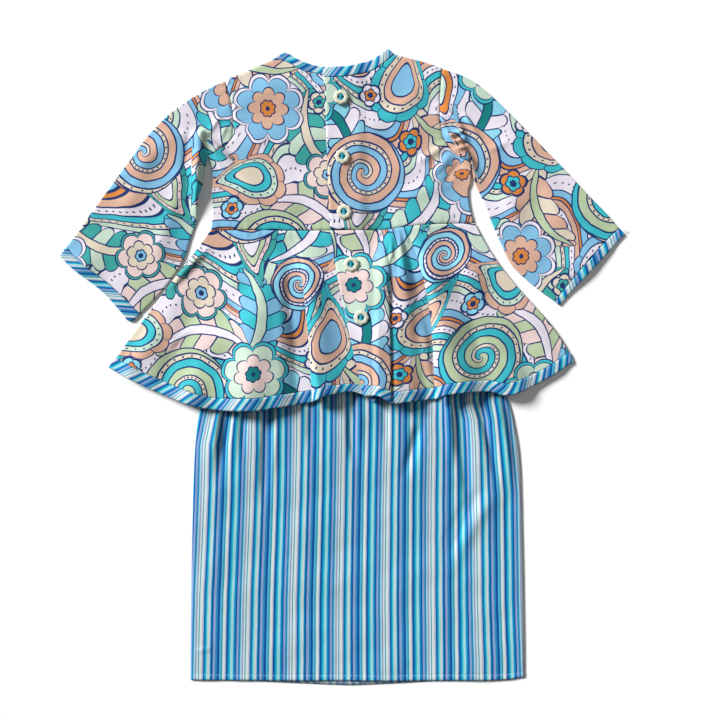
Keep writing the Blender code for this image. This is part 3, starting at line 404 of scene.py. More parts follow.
def dense(points, steps=16):
    """Many points along the Catmull-Rom curve through the given ones: each span a cubic in t."""
    p = np.vstack([2 * points[0] - points[1], points, 2 * points[-1] - points[-2]])
    a, b, c, d = p[:-3, None], p[1:-2, None], p[2:-1, None], p[3:, None]
    t = np.linspace(0, 1, steps, endpoint=False)[None, :, None]
    curve = (2 * b + (c - a) * t + (2 * a - 5 * b + 4 * c - d) * t ** 2
             + (3 * b - a - 3 * c + d) * t ** 3) / 2
    return np.vstack([curve.reshape(-1, p.shape[1]), p[-2]])


def along(points, s):
    """Points at the shares s of the length of the smooth curve through the given points."""
    curve = dense(points)
    length = reach(curve)
    return np.stack([np.interp(s * length[-1], length, axis) for axis in curve.T], axis=-1)


def chain(*pieces):
    """Points along several curves end to end, from (points, steps) pairs; corners stay sharp."""
    runs = [along(points, np.linspace(0, 1, steps + 1)) for points, steps in pieces]
    return np.vstack([runs[0]] + [run[1:] for run in runs[1:]])


def x_at(points, y):
    """The x of a curve that runs down the garment, at the heights y."""
    curve = dense(points)[::-1]
    return np.interp(y, curve[:, 1], curve[:, 0])


def y_at(points, x):
    """The y of a curve that runs across the garment from its left, at x."""
    curve = dense(points)
    return np.interp(x, curve[:, 0], curve[:, 1])


def patch(top, bottom, left, right):
    """Coons patch, rows from top to bottom: the two ruled surfaces of the edges less their corners."""
    u = np.linspace(0, 1, len(top))[None, :, None]
    v = np.linspace(0, 1, len(left))[:, None, None]
    ruled = (1 - v) * top[None] + v * bottom[None] + (1 - u) * left[:, None] + u * right[:, None]
    corners = (1 - v) * ((1 - u) * top[0] + u * top[-1]) + v * ((1 - u) * bottom[0] + u * bottom[-1])
    return ruled - corners


def nearest(xy, points, steps):
    """Each point's distance to a curve, and how far along the curve its nearest point lies."""
    line = dense(points, steps)
    a, ab = line[:-1], np.diff(line, axis=0)
    run = np.linalg.norm(ab, axis=1)
    to = xy.reshape(-1, 1, 2) - a
    t = np.clip((to * ab).sum(-1) / (run ** 2), 0, 1)
    far = np.linalg.norm(to - t[..., None] * ab, axis=-1)
    best = far.argmin(1)
    rows = np.arange(len(best))
    position = reach(line)[best] + t[rows, best] * run[best]
    return far[rows, best].reshape(xy.shape[:-1]), position.reshape(xy.shape[:-1])


def beside(xy, curves):
    """Each point's distance to the nearest of several curves."""
    return np.min([nearest(xy, curve, 4)[0] for curve in curves], axis=0)


def crossing(xy, start, end):
    """How far along a straight line each point lies, as a share, its distance to the line's right, as
    the cross product over the line's length, and that length."""
    run = end - start
    length = np.hypot(*run)
    to = xy - start
    return (to @ run) / length ** 2, (to[..., 0] * run[1] - to[..., 1] * run[0]) / length, length


# Heights

def station_points(stations):
    """The (x, y) points of stations, as (station, point, 2)."""
    return mm(*(row[:8] for row in stations)).reshape(-1, 4, 2)


SIDE_LINES = [station_points(BACK_LEFT_STATIONS)[0], station_points(BACK_RIGHT_STATIONS)[-1]]
CLOSED_EDGES = [np.vstack([SHOULDER_LEFT, NECK_EDGE_LEFT[:1]]),
                np.vstack([NECK_EDGE_RIGHT[-1:], SHOULDER_RIGHT]), SLEEVE_LEFT_OUTER, SLEEVE_LEFT_INNER,
                SLEEVE_RIGHT_OUTER, SLEEVE_RIGHT_INNER, UNDERARM_LEFT, UNDERARM_RIGHT, SIDE_LEFT,
                SIDE_RIGHT] + SIDE_LINES
SEWN_EDGES = [SHOULDER_LEFT, SHOULDER_RIGHT, ARMHOLE_LEFT, ARMHOLE_RIGHT, WAIST]
# Fine waves along a seam: radians in a metre, phase for each seam's number, share of their height
PUCKERS = [(620, 1.0, 1.0), (1030, 2.1, 0.6)]
# Slow waves of soft cloth: direction, length in metres, phase, share of the ripples' height
RIPPLES = [(0.3, 0.091, 0.4, 0.20), (1.2, 0.067, 2.2, 0.16), (2.0, 0.053, 4.0, 0.11),
           (2.7, 0.041, 1.1, 0.07), (0.8, 0.029, 5.2, 0.03), (1.7, 0.021, 3.1, 0.02)]


def upper_level(wall):
    """Middle height of an upper ply that rests on a lower one of the same wall."""
    return 1.5 * wall + PLY_GAP


def crown(xy):
    """Soft rise of the top's upper layer, 0 along the edges where front and back are one or are sewn."""
    return CROWN * smooth(beside(xy, CLOSED_EDGES) / CROWN_REACH)


def seams(xy):
    """A narrow trough along each seam, a bell across it, with fine puckers beside it: two sine waves
    along the seam that die away from it."""
    total = np.zeros(xy.shape[:-1])
    for number, line in enumerate(SEWN_EDGES):
        far, position = nearest(xy, line, 5)
        trough = bell(far / SEAM_WIDTH)
        wave = sum(share * np.sin(position * pace + phase * number) for pace, phase, share in PUCKERS)
        total += PUCKER * wave * np.exp(-far / PUCKER_REACH) * (1 - trough) - SEAM_DIP * trough
    return total


def ripples(xy, scale=1.0):
    """Unevenness of soft cloth: a sum of slow sine waves in fixed directions and of fixed lengths."""
    total = np.zeros(xy.shape[:-1])
    for angle, length, phase, height in RIPPLES:
        way = xy[..., 0] * math.cos(angle) + xy[..., 1] * math.sin(angle)
        side = xy[..., 1] * math.cos(angle) - xy[..., 0] * math.sin(angle)
        bend = 0.3 * np.sin(side / length * 2.3 + phase)
        total += height * np.sin(FULL_TURN * (way / length + bend) + phase)
    return RIPPLE * scale * total


def inside_skirt(xy):
    """How far inside the skirt's nearer side each point lies, below 0 outside."""
    x, y = xy[..., 0], xy[..., 1]
    return np.minimum(x - x_at(SKIRT_LEFT, y), x_at(SKIRT_RIGHT, y) - x)


def over_skirt(xy):
    """Height of the skirt under the top: full inside its outline, down to 0 over SKIRT_SLOPE outside."""
    side = np.maximum(-inside_skirt(xy), 0)
    above = np.maximum(xy[..., 1] - (SKIRT_WAIST[0, 1] + WAISTBAND_HEIGHT + WAISTBAND_GAP), 0)
    return SKIRT_RISE * smooth(1 - np.hypot(side, above) / SKIRT_SLOPE)


def lap(xy):
    """Rise of the right back over the left one's edge, down to 0 beyond it."""
    past = xy[..., 0] - x_at(UNDERLAP_EDGE, xy[..., 1]) - LAP_MARGIN
    return LAP_RISE * (1 - smooth(past / LAP_SLOPE))


def creases(xy, table):
    """Sum of soft ridges and troughs: a bell across each crease, fading out at its ends."""
    total = np.zeros(xy.shape[:-1])
    for *numbers, held in table:
        *ends, bow, width, height = mm(*numbers)
        s, side, length = crossing(xy, np.array(ends[:2]), np.array(ends[2:]))
        begins = np.maximum(smooth(s / 0.3), held * (s < 0.3) * smooth(1 + s * length / width))
        total += height * bell((side - bow * 4 * s * (1 - s)) / width) * begins * smooth((1 - s) / 0.45)
    return total


def rolled(distance, drop=0.0006, width=0.0012):
    """How far a turned-in edge rolls down: a quarter round that starts the width in from the edge."""
    share = np.clip(1 - distance / width, 0, 1)
    return drop * (1 - np.sqrt(1 - share ** 2))


def skirt_heights(xy):
    """Middle height of the skirt's upper layer: a puffed waist, gathers under it, and a doubled hem that
    dips along its stitches, with puckers beside them, and rolls down at its edge."""
    side = inside_skirt(xy)
    puff = SKIRT_PUFF * smooth((xy[..., 1] - PUFF_START) / PUFF_SLOPE)
    z = upper_level(CLOTH) + SKIRT_CROWN * smooth(side / CROWN_REACH)
    z += smooth(side / SKIRT_EDGE) * (puff + creases(xy, SKIRT_CREASES) + ripples(xy, 0.6))
    hem, position = nearest(xy, SKIRT_HEM_BACK, 6)
    off = hem - STITCH_LINE
    z += HEM_RISE * smooth((HEM_TURN - hem) / HEM_SLOPE) - STITCH_DIP * bell(off / STITCH_DIP_WIDTH)
    wave = np.sin(position * 900 + np.sin(position * 130))
    z += STITCH_PUCKER * wave * bell(off / STITCH_PUCKER_REACH)
    z -= rolled(hem, 0.0007, 0.0012) + rolled(np.maximum(side, 0), 0.0006, 0.0015)
    return np.maximum(z, CLOTH + PLY_GAP)


def top_heights(xy, wall=CLOTH, lapped=False):
    """Middle height of the top's upper layer, without the folds."""
    rise = crown(xy)
    z = upper_level(wall) + over_skirt(xy) + rise + creases(xy, TOP_CREASES) + seams(xy)
    z += ripples(xy) * (RIPPLE_HELD + (1 - RIPPLE_HELD) * rise / CROWN)
    return z + lap(xy) if lapped else z


def lower_heights(xy, wall=CLOTH):
    """Middle height of the top's lower layer."""
    return wall / 2 + over_skirt(xy)


def peplum_heights(flat, lapped, drape):
    """Middle height of the peplum's back, without the folds: the top's, lifted, with flutes that open
    towards the hem."""
    lift = DRAPE_LIFT * smooth(beside(flat, SIDE_LINES) / DRAPE_REACH)
    return top_heights(flat, lapped=lapped) + (lift + creases(flat, FLUTES)) * drape


def rested(z, floor):
    """Heights that never sink below the floor: half of z + f + sqrt((z - f)^2 + a^2), a soft maximum."""
    return (z + floor + np.sqrt((z - floor) ** 2 + SOFTNESS ** 2)) / 2


def band_crown(across):
    """A folded strip's section: fuller in the middle, rolled down at the seam and at the finished edge."""
    return STRIP_CROWN * np.sin(math.pi * np.clip(across, 0, 1)) ** 0.5 - STRIP_ROLL


def raised(xy, z):
    """(x, y) points and their heights as (x, y, z)."""
    return np.concatenate([xy, np.broadcast_to(z, xy.shape[:-1])[..., None]], axis=-1)


# Grids of points

def fold_span(a, b, t, q, start, rises):
    """A span that swings back under or over itself, as x + D sin(2 pi q): its points, its hidden cloth and
    its rise, for the shares t down it and q across it.

    The hidden cloth is how much longer the folded path is than the way that it covers. The rise steps
    twice, near a quarter and near three quarters.
    """
    wide = np.linalg.norm(b - a, axis=-1, keepdims=True)
    way = (b - a) / wide
    swing = FOLD_DEPTH * np.sqrt(np.clip((t - start) / (1 - start), 0, 1)) * np.sin(FULL_TURN * q)
    gone = wide[..., 0] * q + swing
    path = np.cumsum(np.abs(np.diff(gone, axis=1, prepend=0)), axis=1)
    points = a + (b - a) * q[..., None] + way * swing[..., None]
    first, second = (0.25, 0.83) if rises else (0.22, 0.75)
    step = (smooth((q - first) / FOLD_TURN + 0.5) + smooth((q - second) / FOLD_TURN + 0.5)) / 2
    return points, way * (path - gone)[..., None], step


def peplum(stations, t):
    """(x, y) points, fold heights and cloth places of a peplum panel, one row for each share t of the way
    down.

    The lines down the panel are cubics through their four points. A plain span follows a smooth curve
    across them. The cloth place adds up the cloth that the folds before it hide.
    """
    net = station_points(stations)
    t = np.concatenate([[0.0], t])[:, None, None]
    weights = [(t - b) * (t - c) * (t - d) / ((a - b) * (a - c) * (a - d))
               for a, b, c, d in ((0, 1/3, 2/3, 1), (1/3, 0, 2/3, 1), (2/3, 0, 1/3, 1), (1, 0, 1/3, 2/3))]
    lines = sum(weight * net[None, :, i] for i, weight in enumerate(weights))
    ends = [2 * lines[:, :1] - lines[:, 1:2], 2 * lines[:, -1:] - lines[:, -2:-1]]
    lines = np.concatenate([ends[0], lines, ends[1]], axis=1)
    t = t[:, :, 0]
    rises = [row[8] for row in stations]
    extra = np.zeros_like(lines[:, :1])
    points, hidden, heights = [lines[:, 1:2]], [extra], [rises[0] * np.ones_like(t)]
    for k, (steps, start) in enumerate(row[9:] for row in stations[:-1]):
        before, a, b, after = np.split(lines[:, k:k + 4], 4, axis=1)
        q = np.linspace(0, 1, steps + 1)[None, 1:]
        if start is None:
            w = q[..., None]
            points.append((2 * a + (b - before) * w + (2 * before - 5 * a + 4 * b - after) * w ** 2
                           + (3 * a - before - 3 * b + after) * w ** 3) / 2)
            hidden.append(np.broadcast_to(extra, points[-1].shape))
            step = smooth(q)
        else:
            folded, gone, step = fold_span(a, b, t, q, start, rises[k + 1] > rises[k])
            points.append(folded)
            hidden.append(extra + gone)
            extra = hidden[-1][:, -1:]
        heights.append((rises[k] + (rises[k + 1] - rises[k]) * step) * np.ones_like(t))
    starts = [row[-1] for row in stations if row[-1] is not None]
    points = np.concatenate(points, axis=1)
    grown = smooth(t / (min(starts, default=0) + FOLD_GROWTH))
    heights = FOLD_STEP * np.concatenate(heights, axis=1) * grown
    points[..., 1] += (y_at(WAIST, points[0, :, 0]) - points[0, :, 1]) * (1 - t)
    cloth = points + np.concatenate(hidden, axis=1)
    return points[1:], heights[1:], cloth[1:]


def turned(upper, under):
    """Columns that carry a wall round a folded edge, from an upper column to the lower one under it.

    upper is (rows, 2 columns, 3), the second last and last column before the turn, and under the first
    after it. The new columns lie on a half circle that stands out from the edge.
    """
    inner, edge = upper[:, 0], upper[:, 1]
    out = edge[:, :2] - inner[:, :2]
    out /= np.linalg.norm(out, axis=-1, keepdims=True)
    radius = (edge[:, 2] - under[:, 2]) / 2
    columns = []
    for angle in np.linspace(0, math.pi, TURN_COLUMNS + 2)[1:-1]:
        flat = (edge[:, :2] + under[:, :2]) / 2 + out * (radius * math.sin(angle))[:, None]
        columns.append(raised(flat, edge[:, 2] - radius * (1 - math.cos(angle))))
    return np.stack(columns, axis=1)


def wrapped(first, under, last):
    """Grids that follow each other round two folded edges: the first, the turn down at its last column,
    the one under it, and the turn up to the last one's first column."""
    down, up = turned(first[:, -2:], under[:, 0]), turned(last[:, 1::-1], under[:, -1])[:, ::-1]
    return [first, down, under, up]


def stepped_off(row, next_row, gap):
    """A row of points moved towards the next row until it is the gap clear of the line that it lay on."""
    step = next_row - row
    length = np.linalg.norm(step, axis=-1)
    run = np.gradient(row, axis=0)
    across = np.abs(run[:, 0] * step[:, 1] - run[:, 1] * step[:, 0]) / (np.linalg.norm(run, axis=-1) * length)
    return row + step * (gap / (length * np.maximum(across, 0.5)))[:, None]


def inset(flat, gap):
    """The grid with its first and last column drawn in by the gap, and the columns near them less and
    less: a soft S over a sixth of the width."""
    step_left = stepped_off(flat[:, 0], flat[:, 1], gap[:, 0]) - flat[:, 0]
    step_right = stepped_off(flat[:, -1], flat[:, -2], gap[:, -1]) - flat[:, -1]
    share = np.linspace(0, 1, flat.shape[1])[None, :, None]
    return flat + step_left[:, None] * smooth(1 - share * 6) + step_right[:, None] * smooth(share * 6 - 5)


def tube(start, end, outer, inner, wall):
    """A flattened tube between four edges, as rings: upper pass, inner turn, lower pass, outer turn. Its
    folded edges draw in where creases take up cloth."""
    flat = patch(start, end, outer, inner)
    flat[0] = stepped_off(flat[0], flat[1], SEAM_GAP)
    flat = inset(flat, TURN_INSET + 0.4 * np.maximum(creases(flat, TOP_CREASES), 0))
    upper = raised(flat, top_heights(flat, wall))
    lower = raised(flat, lower_heights(flat, wall))[:, ::-1]
    return np.concatenate(wrapped(upper, lower, upper), axis=1)


def band(seam, edge, s, ends):
    """(x, y) points of a binding strip, from just past the seam to the finished edge. It stops short at
    the given ends, which are columns 0 or -1."""
    inside, outside = along(seam, s), along(edge, s)
    gap = np.full(len(s), SEAM_GAP)
    gap[ends] += NECK_INSET
    inside = stepped_off(inside, outside, gap)
    flat = inside + (outside - inside) * np.linspace(0, 1, STRIP_ROWS)[:, None, None]
    for end in ends:
        flat[:, end] = stepped_off(flat[:, end], flat[:, 1 if end == 0 else -2], NECK_INSET)
    return flat


# Places on the flat cloth

def cut_place(node, flat):
    """Places on the printed cloth: the flat points turned and shifted to where the piece was cut."""
    (x, y), turn = PRINT_CUTS[node]
    c, s = math.cos(turn), math.sin(turn)
    u, v = flat[..., 0], flat[..., 1]
    return np.stack([u * c - v * s + x, u * s + v * c + y], axis=-1)


def tucked(flat):
    """How much cloth the tucks have swallowed at each point: a step across each tuck, which fades at its
    ends."""
    total = np.zeros(flat.shape)
    for numbers in TUCKS:
        *ends, fade = mm(*numbers)
        s, side, _ = crossing(flat, np.array(ends[:2]), np.array(ends[2:4]))
        share = smooth(0.5 - side / TUCK_WIDTH) * smooth(1 + side / fade)
        share = share * smooth(s / 0.2) * smooth((1 - s) / 0.2)
        total += share[..., None] * np.array(ends[4:])
    return total


def slanted(run, off, stretch, shift):
    """Places on the striped cloth of a strip cut on the slant: the run along the strip and the way off its
    line, turned by STRIP_LEAN."""
    c, s = math.cos(STRIP_LEAN), math.sin(STRIP_LEAN)
    return np.stack([shift - (run * s + off * c) / stretch, run * c - off * s], axis=-1)


def hem_places(points):
    """Places of the hem's strip, with the run along its middle and the way square to that."""
    half = len(points) // 2
    middle = points[half]
    way = np.gradient(middle[:, :2], axis=0)
    way /= np.maximum(np.linalg.norm(way, axis=1, keepdims=True), 1e-9)
    off = points[..., :2] - middle[:, :2]
    over = np.abs(off[..., 0] * way[:, 1] - off[..., 1] * way[:, 0])
    over *= np.sign(half - np.arange(len(points)))[:, None]
    return slanted(reach(middle) + (off * way).sum(-1), over, HEM_STRETCH, 0.010)


def neck_places(parts, edge, shift):
    """Places of a part of the neck's strip, with the run and the way across read off its finished edge's
    nearest points."""
    far, position = nearest(np.concatenate(parts, axis=1)[..., :2], edge, 5)
    return slanted(position, far, NECK_STRETCH, shift)


def stripe_place(flat):
    """Places on the striped cloth: between the guide rows, u is read off where the stripes start."""
    guides = mm(*STRIPE_GUIDES)
    count = guides.shape[1] - 1
    marks = STRIPE_STEP * np.array([-2, *range(count), count + 1])
    margin = 2 * STRIPE_STEP
    reads = np.stack([np.interp(flat[..., 0], [row[0] - margin, *row, row[-1] + margin], marks)
                      for row in guides[:, 1:]])
    at = np.interp(flat[..., 1], guides[:, 0], np.arange(len(guides)))
    low = np.minimum(at.astype(int), len(guides) - 2)
    picks = np.take_along_axis(reads, np.stack([low, low + 1]), axis=0)
    return np.stack([picks[0] + (picks[1] - picks[0]) * (at - low), flat[..., 1]], axis=-1)


# Meshes

def given(made, **values):
    """Sets the named attributes of what was made, and gives it back."""
    for key, value in values.items():
        setattr(made, key, value)
    return made


def linked(name, data):
    """An object for the data, in the scene's collection."""
    made = bpy.data.objects.new(name, data)
    bpy.context.scene.collection.objects.link(made)
    return made


def grid_faces(rows, columns, ring):
    """Faces of a grid of points, as the numbers of their corners; a ring's last column meets its first."""
    index = np.arange(rows * columns).reshape(rows, columns)
    if ring:
        index = np.concatenate([index, index[:, :1]], axis=1)
    return np.stack([index[:-1, :-1], index[1:, :-1], index[1:, 1:], index[:-1, 1:]], axis=-1).reshape(-1, 4)


def new_piece(name, points, faces, materials):
    """An object with a smooth mesh."""
    mesh = bpy.data.meshes.new(name)
    mesh.from_pydata(points.reshape(-1, 3).tolist(), [], faces)
    mesh.shade_smooth()
    for material in materials:
        mesh.materials.append(material)
    return linked(name, mesh)


def sew(name, node, points, places, wall=SHEET_WALL, outer_up=True, ring=False):
    """A cloth piece in its CAD node's place: a grid of (rows, columns, 3) middle points made a thin shell by
    Solidify.

    places is the (rows, columns, 2) place on the flat cloth, kept as the UV map "cloth". Pieces that
    PRINT_CUTS lists are printed and the others striped. Solidify puts the cloth's reverse on the far side.
    """
    printed = node in PRINT_CUTS
    if printed:
        places = cut_place(node, places)
    faces = grid_faces(*points.shape[:2], ring)
    if not outer_up:
        faces = faces[:, ::-1]
    piece = new_piece(name, points, faces.tolist(), cloth_materials("print" if printed else "stripe"))
    layer = piece.data.uv_layers.new(name="cloth")
    layer.data.foreach_set("uv", places.reshape(-1, 2)[faces.ravel()].astype(np.float32).ravel())
    given(piece.modifiers.new("wall", "SOLIDIFY"), thickness=wall, offset=0.0, use_quality_normals=True,
          material_offset=1)
    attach(piece, "root")
    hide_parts(node)


def solid(name, points, *materials):
    """A mesh of one or more closed solids, each from rings of points with a cap on its first and last
    ring."""
    rows, columns = points.shape[-3:-1]
    shifts = np.arange(0, points.size // 3, rows * columns)[:, None, None]
    ring = np.arange(columns)
    caps = np.stack([ring, ring[::-1] + (rows - 1) * columns])
    faces = []
    for part in (grid_faces(rows, columns, True), caps):
        faces += (part + shifts).reshape(-1, part.shape[-1]).tolist()
    return new_piece(name, points, faces, materials)


def strands(paths, radius, sides=8, ends=0.02):
    """Rings of threads along (..., n, 3) paths: a circle carried square to each path. It is thinner at the
    ends, by the root of sin(pi s), with s from ends to 1 - ends."""
    way = np.gradient(paths, axis=-2)
    way /= np.linalg.norm(way, axis=-1, keepdims=True)
    side = np.cross(way, (0.0, 0.0, 1.0))
    side /= np.linalg.norm(side, axis=-1, keepdims=True)
    up = np.cross(side, way)
    angle = np.linspace(0, FULL_TURN, sides, endpoint=False)[:, None]
    size = radius * np.sqrt(np.sin(math.pi * np.linspace(ends, 1 - ends, paths.shape[-2])))[:, None, None]
    circle = side[..., None, :] * np.cos(angle) + up[..., None, :] * np.sin(angle)
    return paths[..., None, :] + size * circle


# Node groups

HALF = (0.5, 0.5, 0.5)


def linear(rgb):
    """An sRGB colour out of 255 as linear RGBA."""
    c = np.array(rgb, float) / 255
    c = np.where(c <= 0.04045, c / 12.92, ((c + 0.055) / 1.055) ** 2.4)
    return (*(float(x) for x in c), 1.0)


def dimmed(colour, share):
    """A colour times the share, opaque."""
    return (*(c * share for c in colour[:3]), 1.0)


def palette(colours):
    """Named sRGB colours as linear RGBA."""
    return {name: linear(rgb) for name, rgb in colours.items()}


def formula(operation):
    """A method of Value that adds one Math node, with the value first."""
    return lambda value, *others: value.weaver.math(operation, value, *others)


class Value:
    """A node's output in a formula: each operator and method adds the Math node of its kind."""

    __add__, __sub__, __mul__, __truediv__ = map(formula, ("ADD", "SUBTRACT", "MULTIPLY", "DIVIDE"))
    __pow__, __abs__, __lt__, __gt__ = map(formula, ("POWER", "ABSOLUTE", "LESS_THAN", "GREATER_THAN"))
    fract, sine, cosine, sqrt = map(formula, ("FRACT", "SINE", "COSINE", "SQRT"))
    minimum, maximum, arctan2 = map(formula, ("MINIMUM", "MAXIMUM", "ARCTAN2"))

    def __init__(self, weaver, socket):
        """A value of the weaver's tree, read from an output socket."""
        self.weaver, self.socket = weaver, socket

    def __rsub__(self, other):
        """A number less the value."""
        return self.weaver.math("SUBTRACT", other, self)

    def __rtruediv__(self, other):
        """A number over the value."""
        return self.weaver.math("DIVIDE", other, self)


class Weaver:
    """Adds nodes to a tree in reading order; most methods give back the new node's output as a Value."""

    def __init__(self, tree):
        """A weaver for a node tree, which has placed nothing yet."""
        self.tree, self.count = tree, 0

    def node(self, kind, **settings):
        """A new node with the named settings, placed after the last one, twelve to a row."""
        made = given(self.tree.nodes.new(kind), **settings)
        made.location = (self.count % 12 * 190, -(self.count // 12) * 260)
        self.count += 1
        return made

    def put(self, socket, value):
        """Links a Value, or sets a plain value."""
        if isinstance(value, Value):
            self.tree.links.new(value.socket, socket)
        else:
            socket.default_value = value

    def fill(self, node, values):
        """Puts values in a node's inputs, by name or number; gives back its outputs by name and number."""
        for key, value in values.items():
            self.put(node.inputs[key], value)
        outputs = {key: Value(self, socket) for key, socket in enumerate(node.outputs)}
        return outputs | {socket.name: Value(self, socket) for socket in node.outputs}

    def math(self, operation, *values):
        """The operation on up to three numbers."""
        return self.fill(self.node("ShaderNodeMath", operation=operation), dict(enumerate(values)))[0]

    def vector(self, operation, a, b):
        """The operation on two vectors, or on a vector and a number when it scales."""
        node = self.node("ShaderNodeVectorMath", operation=operation)
        return self.fill(node, {0: a, 3 if operation == "SCALE" else 1: b})[0]

    def length(self, vector):
        """The root of the sum of the vector's squares."""
        return self.fill(self.node("ShaderNodeVectorMath", operation="LENGTH"), {0: vector})[1]

    def split(self, vector):
        """The vector's x and y."""
        made = self.fill(self.node("ShaderNodeSeparateXYZ"), {0: vector})
        return made[0], made[1]

    def merge(self, x, y, z=0.0):
        """The vector (x, y, z)."""
        return self.fill(self.node("ShaderNodeCombineXYZ"), {0: x, 1: y, 2: z})[0]

    def mix(self, share, a, b, blend="MIX"):
        """Colour a where the share is 0, and b, or b blended with a, where it is 1."""
        node = self.node("ShaderNodeMix", data_type="RGBA", blend_type=blend)
        return self.fill(node, {0: share, 6: a, 7: b})[2]

    def ramp(self, share, stops):
        """Flat bands of colour: (where a band starts, its colour)."""
        made = self.node("ShaderNodeValToRGB")
        made.color_ramp.interpolation = "CONSTANT"
        elements = made.color_ramp.elements
        while len(elements) < len(stops):
            elements.new(1.0)
        for element, (at, colour) in zip(elements, stops):
            given(element, position=at, color=colour)
        return self.fill(made, {0: share})[0]

    def noise(self, vector, scale):
        """Soft noise between 0 and 1, as a value and as a colour."""
        return self.fill(self.node("ShaderNodeTexNoise"), {"Vector": vector, "Scale": scale, "Detail": 2.0})

    def bump(self, height, distance, strength=1.0):
        """The normal bent by the slope of a height."""
        node = self.node("ShaderNodeBump")
        return self.fill(node, {"Height": height, "Distance": distance, "Strength": strength})[0]

    def use(self, name, **values):
        """Places a node group and puts values in its inputs by name."""
        made = self.node("ShaderNodeGroup", node_tree=bpy.data.node_groups[name])
        return self.fill(made, {key.capitalize(): value for key, value in values.items()})


def new_group(name, inputs, outputs):
    """A shader node group with named sockets, each given a kind; gives back its weaver, its inputs as
    Values and a function that puts its results out."""
    tree = bpy.data.node_groups.new(name, "ShaderNodeTree")
    for way, sockets in (("INPUT", inputs), ("OUTPUT", outputs)):
        for label, kind in sockets.items():
            tree.interface.new_socket(label, in_out=way, socket_type="NodeSocket" + kind)
    weaver = Weaver(tree)
    entry = weaver.fill(weaver.node("NodeGroupInput"), {})
    leave = weaver.node("NodeGroupOutput")
    return weaver, entry, lambda **results: weaver.fill(leave, results)


def new_motif(name, *fills):
    """A new group for a motif: its place, number and line width and the named colours go in, and its
    colour and mask come out."""
    numbers = dict.fromkeys(("Radius", "Angle", "Number", "Line"), "Float")
    return new_group(name, {"Local": "Vector", **numbers, **dict.fromkeys(fills, "Color")},
                     {"Colour": "Color", "Mask": "Float"})


def make_motif_place():
    """Wrapped local coordinates of a motif: the repeat's nearest copy of its centre becomes the origin."""
    w, entry, close = new_group(
        "motif place", {"Cloth": "Vector", "Centre": "Vector", "Turn": "Float", "Size": "Float"},
        {"Local": "Vector", "Radius": "Float", "Angle": "Float"})
    x, y = w.split(w.vector("SUBTRACT", entry["Cloth"], entry["Centre"]))
    off = w.merge((x + 0.5).fract() - 0.5, (y + 0.5).fract() - 0.5)
    spin = w.node("ShaderNodeVectorRotate", rotation_type="Z_AXIS")
    spun = w.fill(spin, {"Vector": off, "Angle": entry["Turn"]})[0]
    local = w.vector("SCALE", spun, 1 / entry["Size"])
    x, y = w.split(local)
    close(Local=local, Radius=w.length(local), Angle=y.arctan2(x))


def petal_wave(angle, petals, power, shift=0.0):
    """|cos(n angle / 2 + shift)| to a power: 1 at the middle of each petal and 0 between two."""
    return abs((angle * petals * 0.5 + shift).cosine()) ** power


def beads(w, way, number, wide, off, radius):
    """Dots in a row, a number of them for each unit of the way along it: where the length of (how far to
    the next dot, how far off the row) is under the radius."""
    step = ((way * number).fract() - 0.5) * wide
    return w.length(w.merge(step, off)) < radius


def make_rosette(navy):
    """A flower in three scalloped rings: a petal wave gives each ring's edge."""
    w, entry, close = new_motif("rosette", "Outer", "Rim", "Middle", "Heart")
    r, angle, number, line = (entry[name] for name in ("Radius", "Angle", "Number", "Line"))
    wave = petal_wave(angle, number, 0.55)
    depth = wave * 0.26 + 0.74 - r
    colour = w.mix(depth < 0.13, entry["Outer"], entry["Rim"])
    lines = (abs(depth - 0.13) < line * 0.4).maximum(wave * r < line * 1.5).maximum(depth < line)
    colour = w.mix(lines, colour, navy)
    middle = petal_wave(angle, number, 0.6, math.pi / 2) * 0.17 + 0.40 - r
    colour = w.mix(middle > 0, colour, w.mix(middle < line, entry["Middle"], navy))
    heart = wave * 0.05 + 0.19 - r
    core = w.mix((heart < line).maximum(r < line * 1.6), entry["Heart"], navy)
    close(Colour=w.mix(heart > 0, colour, core), Mask=depth > 0)


def make_swirl(navy):
    """A disc of spiral bands: the fraction of (radius x turns - angle / 2 pi) picks the band."""
    w, entry, close = new_motif("swirl", "Outer", "Rim", "Middle")
    r, angle, number, line = (entry[name] for name in ("Radius", "Angle", "Number", "Line"))
    s = (r ** 0.8 * 2.3 - angle / FULL_TURN * number + 8).fract()
    colour = w.mix(s > 0.36, entry["Outer"], entry["Rim"])
    colour = w.mix(s > 0.58, colour, entry["Middle"])
    for off in (abs(s - 0.36), abs(s - 0.58), abs((s + 0.5).fract() - 0.5)):
        colour = w.mix(off < line * 1.15, colour, navy)
    dots = beads(w, angle, 24 / FULL_TURN, r * 0.26, (s - 0.47) * 0.42, 0.021) * (r > 0.30)
    colour = w.mix(dots.maximum(r > 1 - line), colour, navy)
    close(Colour=colour, Mask=r < 1)


